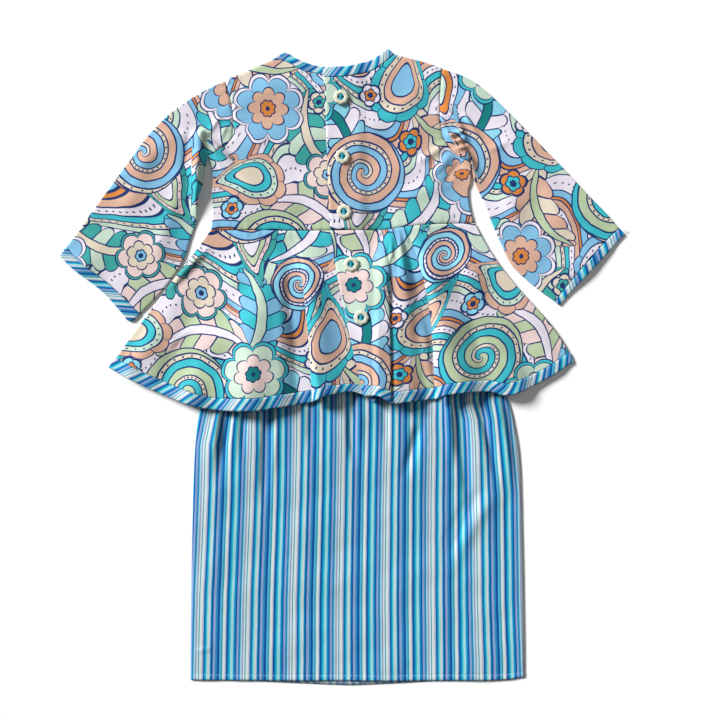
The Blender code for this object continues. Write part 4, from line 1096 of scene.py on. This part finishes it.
def make_paisley(navy):
    """A bent drop in nested bands: x grows with height, so that circles become drops, and rings are
    shares of its radius."""
    w, entry, close = new_motif("paisley", "Outer", "Rim", "Middle", "Heart")
    x, y = w.split(entry["Local"])
    line, number = entry["Line"], entry["Number"]
    up = (y + 0.35).maximum(0)
    across = (x + up * up * 0.55) * (up * up * 1.5 + 1.35)
    tall = (y + 0.15) * 0.92
    v, way = w.length(w.merge(across, tall)), tall.arctan2(across)
    depth = petal_wave(way, number, 0.6) * 0.10 + 0.90 - v
    colour = entry["Outer"]
    for at, fill in ((0.74, "Rim"), (0.56, "Middle"), (0.36, "Heart")):
        colour = w.mix(v < at, colour, entry[fill])
        colour = w.mix(abs(v - at) < line * 0.6, colour, navy)
    petals = (petal_wave(way, number, 1.0) < line * 1.6) * (v > 0.74)
    dots = beads(w, way, 18 / FULL_TURN, 0.24, v - 0.65, 0.028)
    colour = w.mix(dots.maximum(petals).maximum(depth < line), colour, navy)
    close(Colour=colour, Mask=depth > 0)


def make_plume(navy):
    """A bent leaf with barbs: the half width falls with height as a round arch cut by scallops."""
    w, entry, close = new_motif("plume", "Outer", "Rim", "Middle")
    x, y = w.split(entry["Local"])
    line = entry["Line"]
    side = abs(x + (y * y * 0.45 - 0.15))
    lean = y * entry["Number"] - side * 3.2
    barb = (lean * 0.5).fract()
    lobe = abs((barb * math.pi).sine()) ** 0.5
    arch = (1 - y * y).maximum(0.0001).sqrt()
    depth = arch * (lobe * 0.14 + 0.34) - side
    colour = w.mix((lean * 0.25).fract() > 0.5, entry["Outer"], entry["Rim"])
    rib = arch * 0.10
    colour = w.mix(side < rib, colour, entry["Middle"])
    veins = (barb.minimum(1 - barb) < line * 1.7) * (side > rib)
    stem = abs(side - rib) < line * 0.5
    colour = w.mix(veins.maximum(stem).maximum(depth < line), colour, navy)
    close(Colour=colour, Mask=(depth > 0) * (abs(y) < 1))


def make_print(colours, repeat):
    """The printed design: flowing ribbons on a pale ground, and over them the table's motifs in turn."""
    navy = colours["navy"]
    make_motif_place()
    for make in (make_rosette, make_swirl, make_paisley, make_plume):
        make(navy)
    w, entry, close = new_group("garden print", {"Cloth": "Vector"}, {"Colour": "Color"})
    wobble = w.vector("SUBTRACT", w.noise(entry["Cloth"], 45.0)["Color"], HALF)
    cloth = w.vector("ADD", w.vector("SCALE", entry["Cloth"], 1 / repeat), w.vector("SCALE", wobble, 0.018))
    x, y = w.split(cloth)
    bend = (x * FULL_TURN).sine() * 0.55 + ((x * 2 + y) * FULL_TURN + 1).sine() * 0.25
    share = (y * 3 + bend).fract()
    bands = sorted(RIBBONS + [(at, "navy") for at in RIBBON_LINES])
    colour = w.ramp(share, [(at, colours[name]) for at, name in bands])
    for centre in (0.425, 0.13, 0.6325):
        dots = beads(w, x, 52, 1 / 52, (share - centre) * 0.24, 0.0034)
        colour = w.mix(dots, colour, navy)
    for kind, centre, turn, size, number, fills in MOTIFS:
        place = w.use("motif place", cloth=cloth, centre=(*centre, 0.0), turn=turn, size=size)
        values = dict(zip(("outer", "rim", "middle", "heart"), (colours[name] for name in fills)))
        motif = w.use(kind, local=place["Local"], radius=place["Radius"], angle=place["Angle"],
                      number=number, line=0.0056 / size, **values)
        colour = w.mix(motif["Mask"], colour, motif["Colour"])
    close(Colour=colour)


def make_stripes(colours, repeat):
    """Stripes along v: the fraction of u over the repeat picks the band."""
    w, entry, close = new_group("summer stripes", {"Cloth": "Vector"}, {"Colour": "Color"})
    u, v = w.split(entry["Cloth"])
    waver = w.noise(w.merge(u * 0.3, v), 60.0)[0] * 0.012 - 0.006
    close(Colour=w.ramp((u / repeat + waver).fract(), [(at, colours[name]) for at, name in STRIPES]))


def make_weave():
    """Plain weave: the product of two sines is the height, with slubs and slow changes of shade."""
    w, entry, close = new_group(
        "cotton weave", {"Cloth": "Vector", "Pitch": "Float", "Colour": "Color", "Fade": "Float"},
        {"Colour": "Color", "Height": "Float", "Roughness": "Float"})
    cloth = entry["Cloth"]
    x, y = w.split(w.vector("SCALE", cloth, math.pi / entry["Pitch"]))
    over = abs(x.sine() * y.sine())
    x, y = w.split(cloth)
    slub = w.noise(w.merge(x * 12, y), 90.0)[0] + w.noise(w.merge(x, y * 12), 90.0)[0]
    shade = slub * 0.10 + 0.75 + (w.noise(cloth, 18.0)[0] * 0.06 - 0.03)
    colour = w.mix(1.0, entry["Colour"], w.merge(shade, shade, shade), "MULTIPLY")
    colour = w.mix(entry["Fade"], colour, (0.80, 0.79, 0.82, 1.0))
    close(Colour=colour, Height=slub * 0.5 + over * 0.6, Roughness=slub * 0.12 + 0.70)


# Materials

def new_material(name):
    """A material with a Principled shader; gives back the material, its weaver and the shader."""
    made = bpy.data.materials.new(name)
    made.use_nodes = True
    return made, Weaver(made.node_tree), made.node_tree.nodes["Principled BSDF"]


def cotton(name, design, fade, thread_pitch):
    """Cotton cloth: a design on the cloth's own UV, woven, matt, with a soft sheen."""
    _, w, shader = new_material(name)
    uv = w.fill(w.node("ShaderNodeUVMap", uv_map="cloth"), {})[0]
    weave = w.use("cotton weave", cloth=uv, pitch=thread_pitch, colour=w.use(design, cloth=uv)["Colour"],
                  fade=fade)
    w.fill(shader, {"Base Color": weave["Colour"], "Roughness": weave["Roughness"],
                    "Normal": w.bump(weave["Height"], 0.00012, 0.35), "Specular IOR Level": 0.12,
                    "Sheen Weight": 0.08, "Sheen Roughness": 0.45})


def cloth_materials(kind):
    """The face of one of the two cottons and its paler reverse; the first call makes them all."""
    materials = bpy.data.materials
    if "print_face" not in materials:
        settings = bpy.context.scene.kurung_cloth
        make_print(palette(PRINT_COLOURS), settings.print_repeat)
        make_stripes(palette(STRIPE_COLOURS), settings.stripe_repeat)
        make_weave()
        for name, design, fade in (("print", "garden print", 0.45), ("stripe", "summer stripes", 0.20)):
            cotton(name + "_face", design, 0.0, settings.thread_pitch)
            cotton(name + "_reverse", design, fade, settings.thread_pitch)
    return materials[kind + "_face"], materials[kind + "_reverse"]


def clouded(name, scale, first, second):
    """A material whose colour drifts between two by a noise in its object's space; gives back the material,
    its weaver, the shader, the noise and the place in that space."""
    made, w, shader = new_material(name)
    place = w.fill(w.node("ShaderNodeTexCoord"), {})["Object"]
    cloud = w.noise(place, scale)[0]
    w.fill(shader, {"Base Color": w.mix(cloud, first, second)})
    return made, w, shader, cloud, place


def thread_and_hole_shade_material(name):
    """Sewing thread: a fine twist across the strand, slightly glossy. The same recipe also makes the painted
    shade for the button holes, a dark colour that stands for the shade down in them.
    """
    if name in bpy.data.materials:
        return bpy.data.materials[name]
    colour = linear(THREAD_AND_HOLE_SHADE_COLOURS[name])
    made, w, shader, twist, _ = clouded(name, 2600.0, dimmed(colour, 0.75), colour)
    w.fill(shader, {"Normal": w.bump(twist, 0.0001), "Roughness": 0.5})
    return made


def button_material(colour):
    """Moulded button: ivory, with a faint cloud inside and a soft gloss that wear has dulled in places."""
    made, w, shader, _, place = clouded("button_ivory", 320.0, dimmed(colour, 0.86), dimmed(colour, 1.0))
    w.fill(shader, {"Roughness": w.noise(place, 900.0)[0] * 0.25 + 0.22, "Subsurface Weight": 0.15,
                    "Subsurface Radius": (0.001, 0.001, 0.0008), "Coat Weight": 0.25,
                    "Coat Roughness": 0.25})
    return made


# The pieces

SIDES = {
    "left": (ARMHOLE_LEFT, UNDERARM_LEFT, SLEEVE_LEFT_OUTER, SLEEVE_LEFT_INNER, CUFF_LEFT_SEAM,
             CUFF_LEFT_EDGE),
    "right": (ARMHOLE_RIGHT, UNDERARM_RIGHT, SLEEVE_RIGHT_OUTER, SLEEVE_RIGHT_INNER, CUFF_RIGHT_SEAM,
              CUFF_RIGHT_EDGE),
}
# How the cuffs' stripes lie: shift, direction (x, y) across them, stretch, axis along them
CUFF_STRIPES = {"left": (0.0209, (0.070, 0.998), 0.755, 0), "right": (0.0241, (0.961, 0.276), 1.125, 1)}
# Half a section of a button, from its middle over the rim to its underside: shares of radius and height
BUTTON_PROFILE = np.array([
    (1e-5, 0.70), (0.10, 0.69), (0.20, 0.685), (0.32, 0.685), (0.42, 0.70), (0.46, 0.80), (0.50, 0.94),
    (0.56, 1.0), (0.67, 1.0), (0.78, 0.97), (0.88, 0.88), (0.95, 0.72), (1.0, 0.50), (0.99, 0.28),
    (0.93, 0.08), (0.80, 0.0), (0.40, 0.0), (1e-5, 0.0)])
BUTTON_RINGS = 72
BUTTON_UPPER_RINGS = 45
BUTTON_COLUMNS = 96


def make_bodice():
    """Front and back of the bodice, between the shoulders, the armholes, the side seams and the waist."""
    left = chain((ARMHOLE_LEFT, 50), (UNDERARM_LEFT, 22), (SIDE_LEFT, 48))
    right = chain((ARMHOLE_RIGHT, 50), (UNDERARM_RIGHT, 22), (SIDE_RIGHT, 48))

    def panel(top, left, right):
        x = np.linspace(left[-1, 0], right[-1, 0], len(top))
        return patch(top, np.stack([x, y_at(WAIST, x)], axis=-1), left, right)

    def free_edge(edge, y_top):
        y = np.linspace(y_top, y_at(WAIST, edge[3, 0]), len(left))
        return np.stack([x_at(edge, y), y], axis=-1)

    top = chain((SHOULDER_LEFT, 24), (NECK_SEAM_FRONT, 80), (SHOULDER_RIGHT, 24))
    flat = panel(top, left, right)[::2, ::2]
    sew("bodice_front", "front_bodice", raised(flat, lower_heights(flat)), flat, outer_up=False)

    top = chain((SHOULDER_LEFT, 26), (NECK_SEAM_LEFT, 64))
    free = free_edge(UNDERLAP_EDGE, top[-1, 1])
    top[-1] = free[0]
    flat = panel(top, left, free)
    sew("bodice_back_left", "back_bodice_left", raised(flat, top_heights(flat)), flat + tucked(flat))

    top = chain((NECK_SEAM_RIGHT, 64), (SHOULDER_RIGHT, 26))
    free = free_edge(PLACKET_EDGE, top[0, 1])
    top[0] = free[0]
    flat = panel(top, free, right)
    z = top_heights(flat, lapped=True) - rolled(nearest(flat, PLACKET_EDGE, 6)[0])
    sew("bodice_back_right", "back_bodice_right", raised(flat, z), flat + tucked(flat))


def make_peplum():
    """Front and back of the peplum, from the waist seam to the binding."""
    shares = np.linspace(0.006, HEM_SEAM - 0.006, 116)
    body = np.concatenate([[SEAM_GAP / PEPLUM_LENGTH], shares, [HEM_SEAM]])
    flat, _, place = peplum(FRONT_STATIONS, body[::2])
    sew("peplum_front", "front_peplum", raised(flat, lower_heights(flat)), place, outer_up=False)
    for side, stations in (("left", BACK_LEFT_STATIONS), ("right", BACK_RIGHT_STATIONS)):
        lapped = side == "right"
        flat, folds, place = peplum(stations, body)
        z = peplum_heights(flat, lapped, smooth(body / 0.9)[:, None]) + folds
        z = rested(z, lower_heights(flat) + CLOTH + PLY_GAP)
        if lapped:
            z -= rolled(nearest(flat, PLACKET_EDGE, 6)[0])
        sew("peplum_back_" + side, "back_peplum_" + side, raised(flat, z), place + tucked(flat))


def make_hem_binding():
    """The one binding strip round the peplum's hem, back left, front and back right."""
    edge = np.linspace(HEM_SEAM + SEAM_GAP / PEPLUM_LENGTH, 1.0, STRIP_ROWS)
    section = band_crown(np.linspace(0, 1, STRIP_ROWS)[:, None])
    backs = []
    for stations, lapped in ((BACK_LEFT_STATIONS, False), (BACK_RIGHT_STATIONS, True)):
        flat, folds, _ = peplum(stations, edge)
        z = upper_level(BINDING) - upper_level(CLOTH) + peplum_heights(flat, lapped, 1.0) + folds
        z = rested(z, lower_heights(flat, BINDING) + BINDING + PLY_GAP)
        backs.append(raised(flat, z + section)[:, ::-1])
    flat = peplum(FRONT_STATIONS, edge)[0]
    front = raised(flat, lower_heights(flat, BINDING) + 0.3 * section)
    strip = np.concatenate([*wrapped(backs[0], front, backs[1]), backs[1]], axis=1)
    sew("hem_strip", "hem_binding", strip, hem_places(strip),
        wall=STRIP_WALL, outer_up=False)


def make_neck_binding():
    """The strip round the neck: back left, over the shoulder, round the lower front, and back right."""
    steps = np.linspace(0, 1, STRIP_STEPS + 1)
    section = band_crown(np.linspace(0, 1, STRIP_ROWS)[:, None])
    left = band(NECK_SEAM_LEFT, NECK_EDGE_LEFT, steps[::-1], [-1])
    left = raised(left, top_heights(left, BINDING) + section)
    front = band(NECK_SEAM_FRONT, NECK_EDGE_FRONT, steps, [0, -1])
    front = raised(front, lower_heights(front, BINDING) + section)
    right = band(NECK_SEAM_RIGHT, NECK_EDGE_RIGHT, steps[::-1], [0])
    right = raised(right, top_heights(right, BINDING, lapped=True) + section)
    parts = wrapped(left, front, right) + [right]
    places = [neck_places(parts[:2], NECK_EDGE_LEFT, 0.0385),
              neck_places(parts[2:3], NECK_EDGE_FRONT, 0.0),
              neck_places(parts[3:], NECK_EDGE_RIGHT, 0.0017)]
    sew("neck_strip", "neck_binding", np.concatenate(parts, axis=1), np.concatenate(places, axis=1),
        wall=STRIP_WALL)


def make_sleeves():
    """Both sleeves, each a tube pressed flat."""
    for side, (armhole, underarm, outer, inner, seam, _) in SIDES.items():
        start, end = chain((armhole, STRIP_STEPS)), chain((seam, STRIP_STEPS))
        rings = tube(start, end, chain((outer, 130)), chain((underarm, 20), (inner, 110)), CLOTH)
        flat = rings[..., :2]
        sew(side + "_sleeve_tube", side + "_sleeve", rings, flat + tucked(flat),
            outer_up=side == "left", ring=True)


def make_cuffs():
    """The striped binding round each sleeve's end."""
    for side, (*_, seam, edge) in SIDES.items():
        end, cuff = chain((seam, STRIP_STEPS)), chain((edge, STRIP_STEPS))
        outer, inner = (np.linspace(end[i], cuff[i], STRIP_ROWS) for i in (0, -1))
        rings = tube(end, cuff, outer, inner, BINDING)
        section = band_crown(np.linspace(0, 1, STRIP_ROWS)[:, None])
        rings[..., 2] += section * (rings[..., 2] > BINDING)
        shift, way, stretch, axis = CUFF_STRIPES[side]
        places = np.stack([shift - rings[..., :2] @ way / stretch, rings[..., axis]], axis=-1)
        sew(side + "_cuff", side + "_cuff_binding", rings, places, wall=STRIP_WALL,
            outer_up=side == "left", ring=True)


def make_thread_tuft():
    """A loose turquoise thread end in two strands at the right cuff's outer tip."""
    thread = thread_and_hole_shade_material("thread_turquoise")
    t = np.linspace(0, 1, 12)
    for number, (x, y) in enumerate(((0.0045, 0.0010), (0.0040, -0.0022)), start=1):
        path = np.stack([0.2828 + x * t, 0.1352 + y * t + 0.0008 * np.sin(3 * t),
                         0.0012 + 0.0006 * np.sin(math.pi * t)], axis=-1)
        end = solid("cuff_thread_%d" % number, strands(path, TUFT_RADIUS), thread)
        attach(end, "root")


def make_skirt():
    """Upper and lower panel of the skirt, and the waistband, a ring pressed flat with fine gathers."""
    def panel(hem, columns, rows):
        x, y = np.linspace(0, 1, columns + 1), np.linspace(0, 1, rows + 1)
        return patch(along(SKIRT_WAIST, x), along(hem, x), along(SKIRT_LEFT, y), along(SKIRT_RIGHT, y))

    flat = panel(SKIRT_HEM_FRONT, 90, 90)
    sew("skirt_under", "skirt_front", raised(flat, CLOTH / 2), flat + (0.0135, 0.0), outer_up=False)

    flat = panel(SKIRT_HEM_BACK, 190, 210)
    sew("skirt_upper", "skirt_back", raised(flat, skirt_heights(flat)), stripe_place(flat))

    (x_left, y), (x_right, _) = SKIRT_WAIST
    x = np.linspace(x_left + TURN_INSET, x_right - TURN_INSET, 140)
    rows = np.linspace(y + WAISTBAND_GAP, y + WAISTBAND_HEIGHT, 16)
    flat = np.stack(np.meshgrid(x, rows), axis=-1)
    down = np.sin(np.linspace(0, math.pi, len(rows)))[:, None]
    gathers = 0.00025 * np.sin(x * 900 + 2 * np.sin(x * 70)) * down
    upper, lower = raised(flat, upper_level(BINDING) + gathers), raised(flat, BINDING / 2)[:, ::-1]
    rings = np.concatenate(wrapped(upper, lower, upper), axis=1)
    sew("waistband_casing", "skirt_waistband", rings, rings[..., :2] * (1.25, 1.0),
        wall=STRIP_WALL, outer_up=False, ring=True)


def make_stitches():
    """The row of stitches above the skirt's hem: short strands in one mesh, each a little bow over the
    cloth."""
    x = np.linspace(SKIRT_HEM_BACK[0, 0] + 0.004, SKIRT_HEM_BACK[-1, 0] - 0.004, 400)
    flat = np.stack([x, y_at(SKIRT_HEM_BACK, x) + STITCH_LINE], axis=-1)
    line = raised(flat, skirt_heights(flat) + TRIM_GAP)
    run = reach(line)
    pitch = STITCH_LENGTH + STITCH_GAP
    t = np.linspace(0, 1, 6)
    at = np.arange(int(run[-1] / pitch))[:, None] * pitch + STITCH_GAP / 2 + t * STITCH_LENGTH
    paths = np.stack([np.interp(at, run, axis) for axis in line.T], axis=-1)
    paths[..., 2] += STITCH_RADIUS * (1.2 * np.sin(math.pi * t) - 0.3)
    rings = strands(paths, STITCH_RADIUS, 6, 0.04)
    piece = solid("skirt_hem_stitches", rings, thread_and_hole_shade_material("thread_pale"))
    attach(piece, "root")


def rest_height(names, centre, radius):
    """The highest point of the named pieces within the radius of a centre."""
    top = 0.0
    for name in names:
        vertices = bpy.data.objects[name].data.vertices
        points = np.empty(len(vertices) * 3)
        vertices.foreach_get("co", points)
        x, y, z = points.reshape(-1, 3).T
        near = np.hypot(x - centre[0], y - centre[1]) < radius
        top = max(top, z[near].max(initial=0.0))
    return top


def turned_button(settings, centre, base):
    """Points of a scalloped button: rings of a profile, the radius wavy round the rim, two pits in the
    well."""
    path = along(BUTTON_PROFILE, np.linspace(0, 1, BUTTON_RINGS))
    turn = np.linspace(0, FULL_TURN, BUTTON_COLUMNS, endpoint=False)[None, :]
    share = path[:, :1]
    lobes = 1 + 0.045 * np.cos(settings.lobes * turn) * smooth((share - 0.55) / 0.4)
    x = settings.radius * share * lobes * np.cos(turn)
    y = settings.radius * share * lobes * np.sin(turn)
    z = settings.height * path[:, 1:] * np.ones_like(turn)
    upper = (np.arange(BUTTON_RINGS) < BUTTON_UPPER_RINGS)[:, None]
    away = np.hypot(np.abs(x) - settings.hole_offset, y)
    z -= upper * 0.5 * settings.height * smooth((1.25 - away / settings.hole_radius) / 0.5)
    return np.stack([x + centre[0], y + centre[1], z + base], axis=-1)


def line_well(piece, centre, settings):
    """Wound thread, the second material, on the floor of a button's well, and painted shade, the third: a
    dark colour on the faces down in the two holes that stands for the shade there."""
    mesh = piece.data
    middles = np.empty(len(mesh.polygons) * 3)
    mesh.polygons.foreach_get("center", middles)
    x, y, z = middles.reshape(-1, 3).T
    x, y = x - centre[0], y - centre[1]
    above = z > z.min() + 0.15 * settings.height
    slots = np.where(above & (np.hypot(x, y) < settings.well), 1, 0)
    # faces down in the holes take the third material, painted shade
    slots[above & (np.hypot(np.abs(x) - settings.hole_offset, y) < settings.hole_radius)] = 2
    mesh.polygons.foreach_set("material_index", slots.astype(np.int32))


def make_buttons():
    """Five ivory buttons on the lapping edge, each with turquoise thread that fills its well: bars that
    arch from hole to hole."""
    settings = bpy.context.scene.kurung_buttons
    ivory = button_material(settings.colour)
    # The second material fetched here is painted shade, a dark colour for the faces down in the holes
    thread, shade = thread_and_hole_shade_material("thread_turquoise"), thread_and_hole_shade_material("painted_hole_shade")
    t = np.linspace(0, 1, 15)
    arch = np.sin(math.pi * t)
    for number, centre in enumerate(BUTTON_CENTRES, start=1):
        node = "button_%d" % number
        cloth = rest_height(("bodice_back_right", "peplum_back_right"), centre, 0.8 * settings.radius)
        base = cloth + TRIM_GAP
        piece = solid("shirt_" + node, turned_button(settings, centre, base), ivory, thread, shade)
        line_well(piece, centre, settings)
        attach(piece, "root")
        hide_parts(node)
        for part, shift in enumerate((-1.0, -0.5, 0.0, 0.5, 1.0), start=1):
            rise = settings.height * (0.40 + 0.42 * arch ** 0.5) + 0.0001 * (part % 2)
            path = np.stack([centre[0] + 0.72 * settings.hole_offset * (2 * t - 1),
                             centre[1] + shift * 0.75 * settings.well * arch ** 0.7, base + rise], axis=-1)
            bar = solid("thread_%d_%d" % (number, part), strands(path, BAR_RADIUS), thread)
            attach(bar, "root")


def make_stage():
    """A plain pale floor, soft light from the upper left and all round, and a camera straight above. A
    lamp is turned from straight down to the middle by the two angles of its place."""
    settings = bpy.context.scene.kurung_stage
    half = settings.floor_size / 2
    corners = np.array([(-half, -half, 0), (half, -half, 0), (half, half, 0), (-half, half, 0)])
    pale = settings.floor_colour
    paper, w, shader, _, _ = clouded("floor_paper", 3.0, dimmed(pale, 1.0), dimmed(pale, 0.985))
    w.fill(shader, {"Roughness": 0.9})
    new_piece("floor", corners, [(0, 1, 2, 3)], [paper])

    key = settings.key_strength
    for name, kind, place, traits in (
            ("key", "SUN", (-7.0, 4.7, 4.6), {"energy": key, "angle": settings.key_spread}),
            ("fill", "AREA", (2.0, 0.8, 3.0), {"energy": key * 3.0, "shape": "SQUARE", "size": 2.4})):
        x, y, z = place
        given(linked(name, given(bpy.data.lights.new(name, kind), **traits)), location=place,
              rotation_euler=(math.atan2(math.hypot(x, y), z), 0.0, math.atan2(x, -y)))

    world = bpy.data.worlds.new("studio")
    world.use_nodes = True
    w = Weaver(world.node_tree)
    nodes = world.node_tree.nodes
    sky = w.fill(nodes["Background"], {"Color": (1.0, 1.0, 1.0, 1.0), "Strength": settings.sky_strength})
    seen = w.fill(w.node("ShaderNodeBackground"), {"Color": (0.95, 0.95, 0.95, 1.0)})
    by_camera = w.fill(w.node("ShaderNodeLightPath"), {})["Is Camera Ray"]
    mixed = w.fill(w.node("ShaderNodeMixShader"), {0: by_camera, 1: sky[0], 2: seen[0]})
    w.fill(nodes["World Output"], {"Surface": mixed[0]})
    bpy.context.scene.world = world
    bpy.context.scene.view_settings.view_transform = "Standard"

    camera = given(bpy.data.cameras.new("camera"), lens=50.0, sensor_width=36.0)
    bpy.context.scene.camera = linked("camera", camera)
    bpy.context.scene.camera.location = (*settings.view_centre, settings.camera_height)


# The add-on

class KurungCloth(bpy.types.PropertyGroup):
    """Sizes of the two cottons."""

    print_repeat: bpy.props.FloatProperty(
        name="Print repeat", description="Size of one repeat of the printed design", default=0.250, min=0.02,
        unit="LENGTH")
    stripe_repeat: bpy.props.FloatProperty(
        name="Stripe repeat", description="Width of one repeat of the stripes", default=0.0465, min=0.005,
        unit="LENGTH")
    thread_pitch: bpy.props.FloatProperty(
        name="Thread pitch", description="Distance between two threads of the weave", default=0.00045,
        min=0.0001, precision=5, unit="LENGTH")


class KurungButtons(bpy.types.PropertyGroup):
    """Sizes and colour of the buttons."""

    radius: bpy.props.FloatProperty(
        name="Radius", description="Radius of a button", default=0.0073, min=0.002, precision=4,
        unit="LENGTH")
    height: bpy.props.FloatProperty(
        name="Height", description="Thickness of a button", default=0.0024, min=0.001, precision=4,
        unit="LENGTH")
    hole_offset: bpy.props.FloatProperty(
        name="Hole offset", description="Distance of a thread hole from the middle", default=0.0021,
        min=0.0005, precision=4, unit="LENGTH")
    hole_radius: bpy.props.FloatProperty(
        name="Hole radius", description="Radius of a thread hole", default=0.0010, min=0.0002, precision=4,
        unit="LENGTH")
    well: bpy.props.FloatProperty(
        name="Well", description="Half of the width that the thread fills", default=0.0032, min=0.0005,
        precision=4, unit="LENGTH")
    lobes: bpy.props.IntProperty(
        name="Lobes", description="Number of scallops round the rim", default=8, min=0)
    colour: bpy.props.FloatVectorProperty(
        name="Colour", description="Colour of the buttons", default=linear((216, 214, 194))[:3],
        subtype="COLOR", min=0.0, max=1.0)


class KurungStage(bpy.types.PropertyGroup):
    """Floor, light and camera."""

    floor_size: bpy.props.FloatProperty(
        name="Floor size", description="Side of the floor", default=16.0, min=1.0, unit="LENGTH")
    floor_colour: bpy.props.FloatVectorProperty(
        name="Floor colour", description="Colour of the floor", default=(0.88, 0.88, 0.88), subtype="COLOR",
        min=0.0, max=1.0)
    key_strength: bpy.props.FloatProperty(
        name="Key strength", description="Strength of the main light in watts on a square metre", default=6.3,
        min=0.0)
    key_spread: bpy.props.FloatProperty(
        name="Key spread", description="Angle that the main light fills, which softens the shadows",
        default=math.radians(19), min=0.0, subtype="ANGLE")
    sky_strength: bpy.props.FloatProperty(
        name="Sky strength", description="Strength of the light from all round", default=0.11, min=0.0)
    view_centre: bpy.props.FloatVectorProperty(
        name="View centre", description="Point on the floor that the camera looks at", size=2,
        default=(0.0175, 0.0065), subtype="XYZ", unit="LENGTH")
    camera_height: bpy.props.FloatProperty(
        name="Camera height", description="Height of the camera above the floor", default=1.006, min=0.2,
        unit="LENGTH")


class KURUNG_OT_stage(bpy.types.Operator):
    """Make the floor, the lights and the camera"""

    bl_idname = "kurung.stage"
    bl_label = "Stage"
    bl_options = {"REGISTER", "UNDO"}

    def execute(self, context):
        make_stage()
        return {"FINISHED"}


class KURUNG_OT_bodice(bpy.types.Operator):
    """Make the front and the two backs of the bodice"""

    bl_idname = "kurung.bodice"
    bl_label = "Bodice"
    bl_options = {"REGISTER", "UNDO"}

    def execute(self, context):
        make_bodice()
        return {"FINISHED"}


class KURUNG_OT_peplum(bpy.types.Operator):
    """Make the flared peplum with its folds"""

    bl_idname = "kurung.peplum"
    bl_label = "Peplum"
    bl_options = {"REGISTER", "UNDO"}

    def execute(self, context):
        make_peplum()
        return {"FINISHED"}


class KURUNG_OT_hem_binding(bpy.types.Operator):
    """Make the striped strip round the hem"""

    bl_idname = "kurung.hem_binding"
    bl_label = "Hem binding"
    bl_options = {"REGISTER", "UNDO"}

    def execute(self, context):
        make_hem_binding()
        return {"FINISHED"}


class KURUNG_OT_neck_binding(bpy.types.Operator):
    """Make the striped strip round the neck"""

    bl_idname = "kurung.neck_binding"
    bl_label = "Neck binding"
    bl_options = {"REGISTER", "UNDO"}

    def execute(self, context):
        make_neck_binding()
        return {"FINISHED"}


class KURUNG_OT_sleeves(bpy.types.Operator):
    """Make both sleeves"""

    bl_idname = "kurung.sleeves"
    bl_label = "Sleeves"
    bl_options = {"REGISTER", "UNDO"}

    def execute(self, context):
        make_sleeves()
        return {"FINISHED"}


class KURUNG_OT_cuffs(bpy.types.Operator):
    """Make the striped strip at the end of each sleeve and its loose thread"""

    bl_idname = "kurung.cuffs"
    bl_label = "Cuffs"
    bl_options = {"REGISTER", "UNDO"}

    def execute(self, context):
        make_cuffs()
        make_thread_tuft()
        return {"FINISHED"}


class KURUNG_OT_skirt(bpy.types.Operator):
    """Make the skirt's two panels and its waistband"""

    bl_idname = "kurung.skirt"
    bl_label = "Skirt"
    bl_options = {"REGISTER", "UNDO"}

    def execute(self, context):
        make_skirt()
        return {"FINISHED"}


class KURUNG_OT_buttons(bpy.types.Operator):
    """Make the five buttons and their thread"""

    bl_idname = "kurung.buttons"
    bl_label = "Buttons"
    bl_options = {"REGISTER", "UNDO"}

    def execute(self, context):
        make_buttons()
        return {"FINISHED"}


class KURUNG_OT_stitches(bpy.types.Operator):
    """Make the row of stitches above the skirt's hem"""

    bl_idname = "kurung.stitches"
    bl_label = "Stitches"
    bl_options = {"REGISTER", "UNDO"}

    def execute(self, context):
        make_stitches()
        return {"FINISHED"}


OPERATORS = [
    KURUNG_OT_stage, KURUNG_OT_bodice, KURUNG_OT_peplum, KURUNG_OT_hem_binding,
    KURUNG_OT_neck_binding, KURUNG_OT_sleeves, KURUNG_OT_cuffs,
    KURUNG_OT_skirt, KURUNG_OT_buttons, KURUNG_OT_stitches,
]


class KURUNG_PT_panel(bpy.types.Panel):
    """Lists the pieces and their settings."""

    bl_label = "Baju kurung set"
    bl_idname = "KURUNG_PT_panel"
    bl_space_type = "VIEW_3D"
    bl_region_type = "UI"
    bl_category = "Baju kurung"

    def draw(self, context):
        for made in OPERATORS:
            self.layout.operator(made.bl_idname)
        for group in (context.scene.kurung_cloth, context.scene.kurung_buttons, context.scene.kurung_stage):
            box = self.layout.box()
            for name in group.__annotations__:
                box.prop(group, name)


GROUPS = {"kurung_cloth": KurungCloth, "kurung_buttons": KurungButtons, "kurung_stage": KurungStage}


def register():
    """Registers the classes, and puts the three groups of settings on the scene."""
    for group in GROUPS.values():
        bpy.utils.register_class(group)
    for made in OPERATORS + [KURUNG_PT_panel]:
        bpy.utils.register_class(made)
    for name, group in GROUPS.items():
        setattr(bpy.types.Scene, name, bpy.props.PointerProperty(type=group))


def unregister():
    """Takes the settings off the scene, and unregisters the classes."""
    for name in GROUPS:
        delattr(bpy.types.Scene, name)
    for made in OPERATORS + [KURUNG_PT_panel] + list(GROUPS.values()):
        bpy.utils.unregister_class(made)


def main():
    """Makes every piece by its operator."""
    register()
    for made in OPERATORS:
        getattr(bpy.ops.kurung, made.bl_idname.split(".")[1])()


if __name__ == "__main__":
    main()
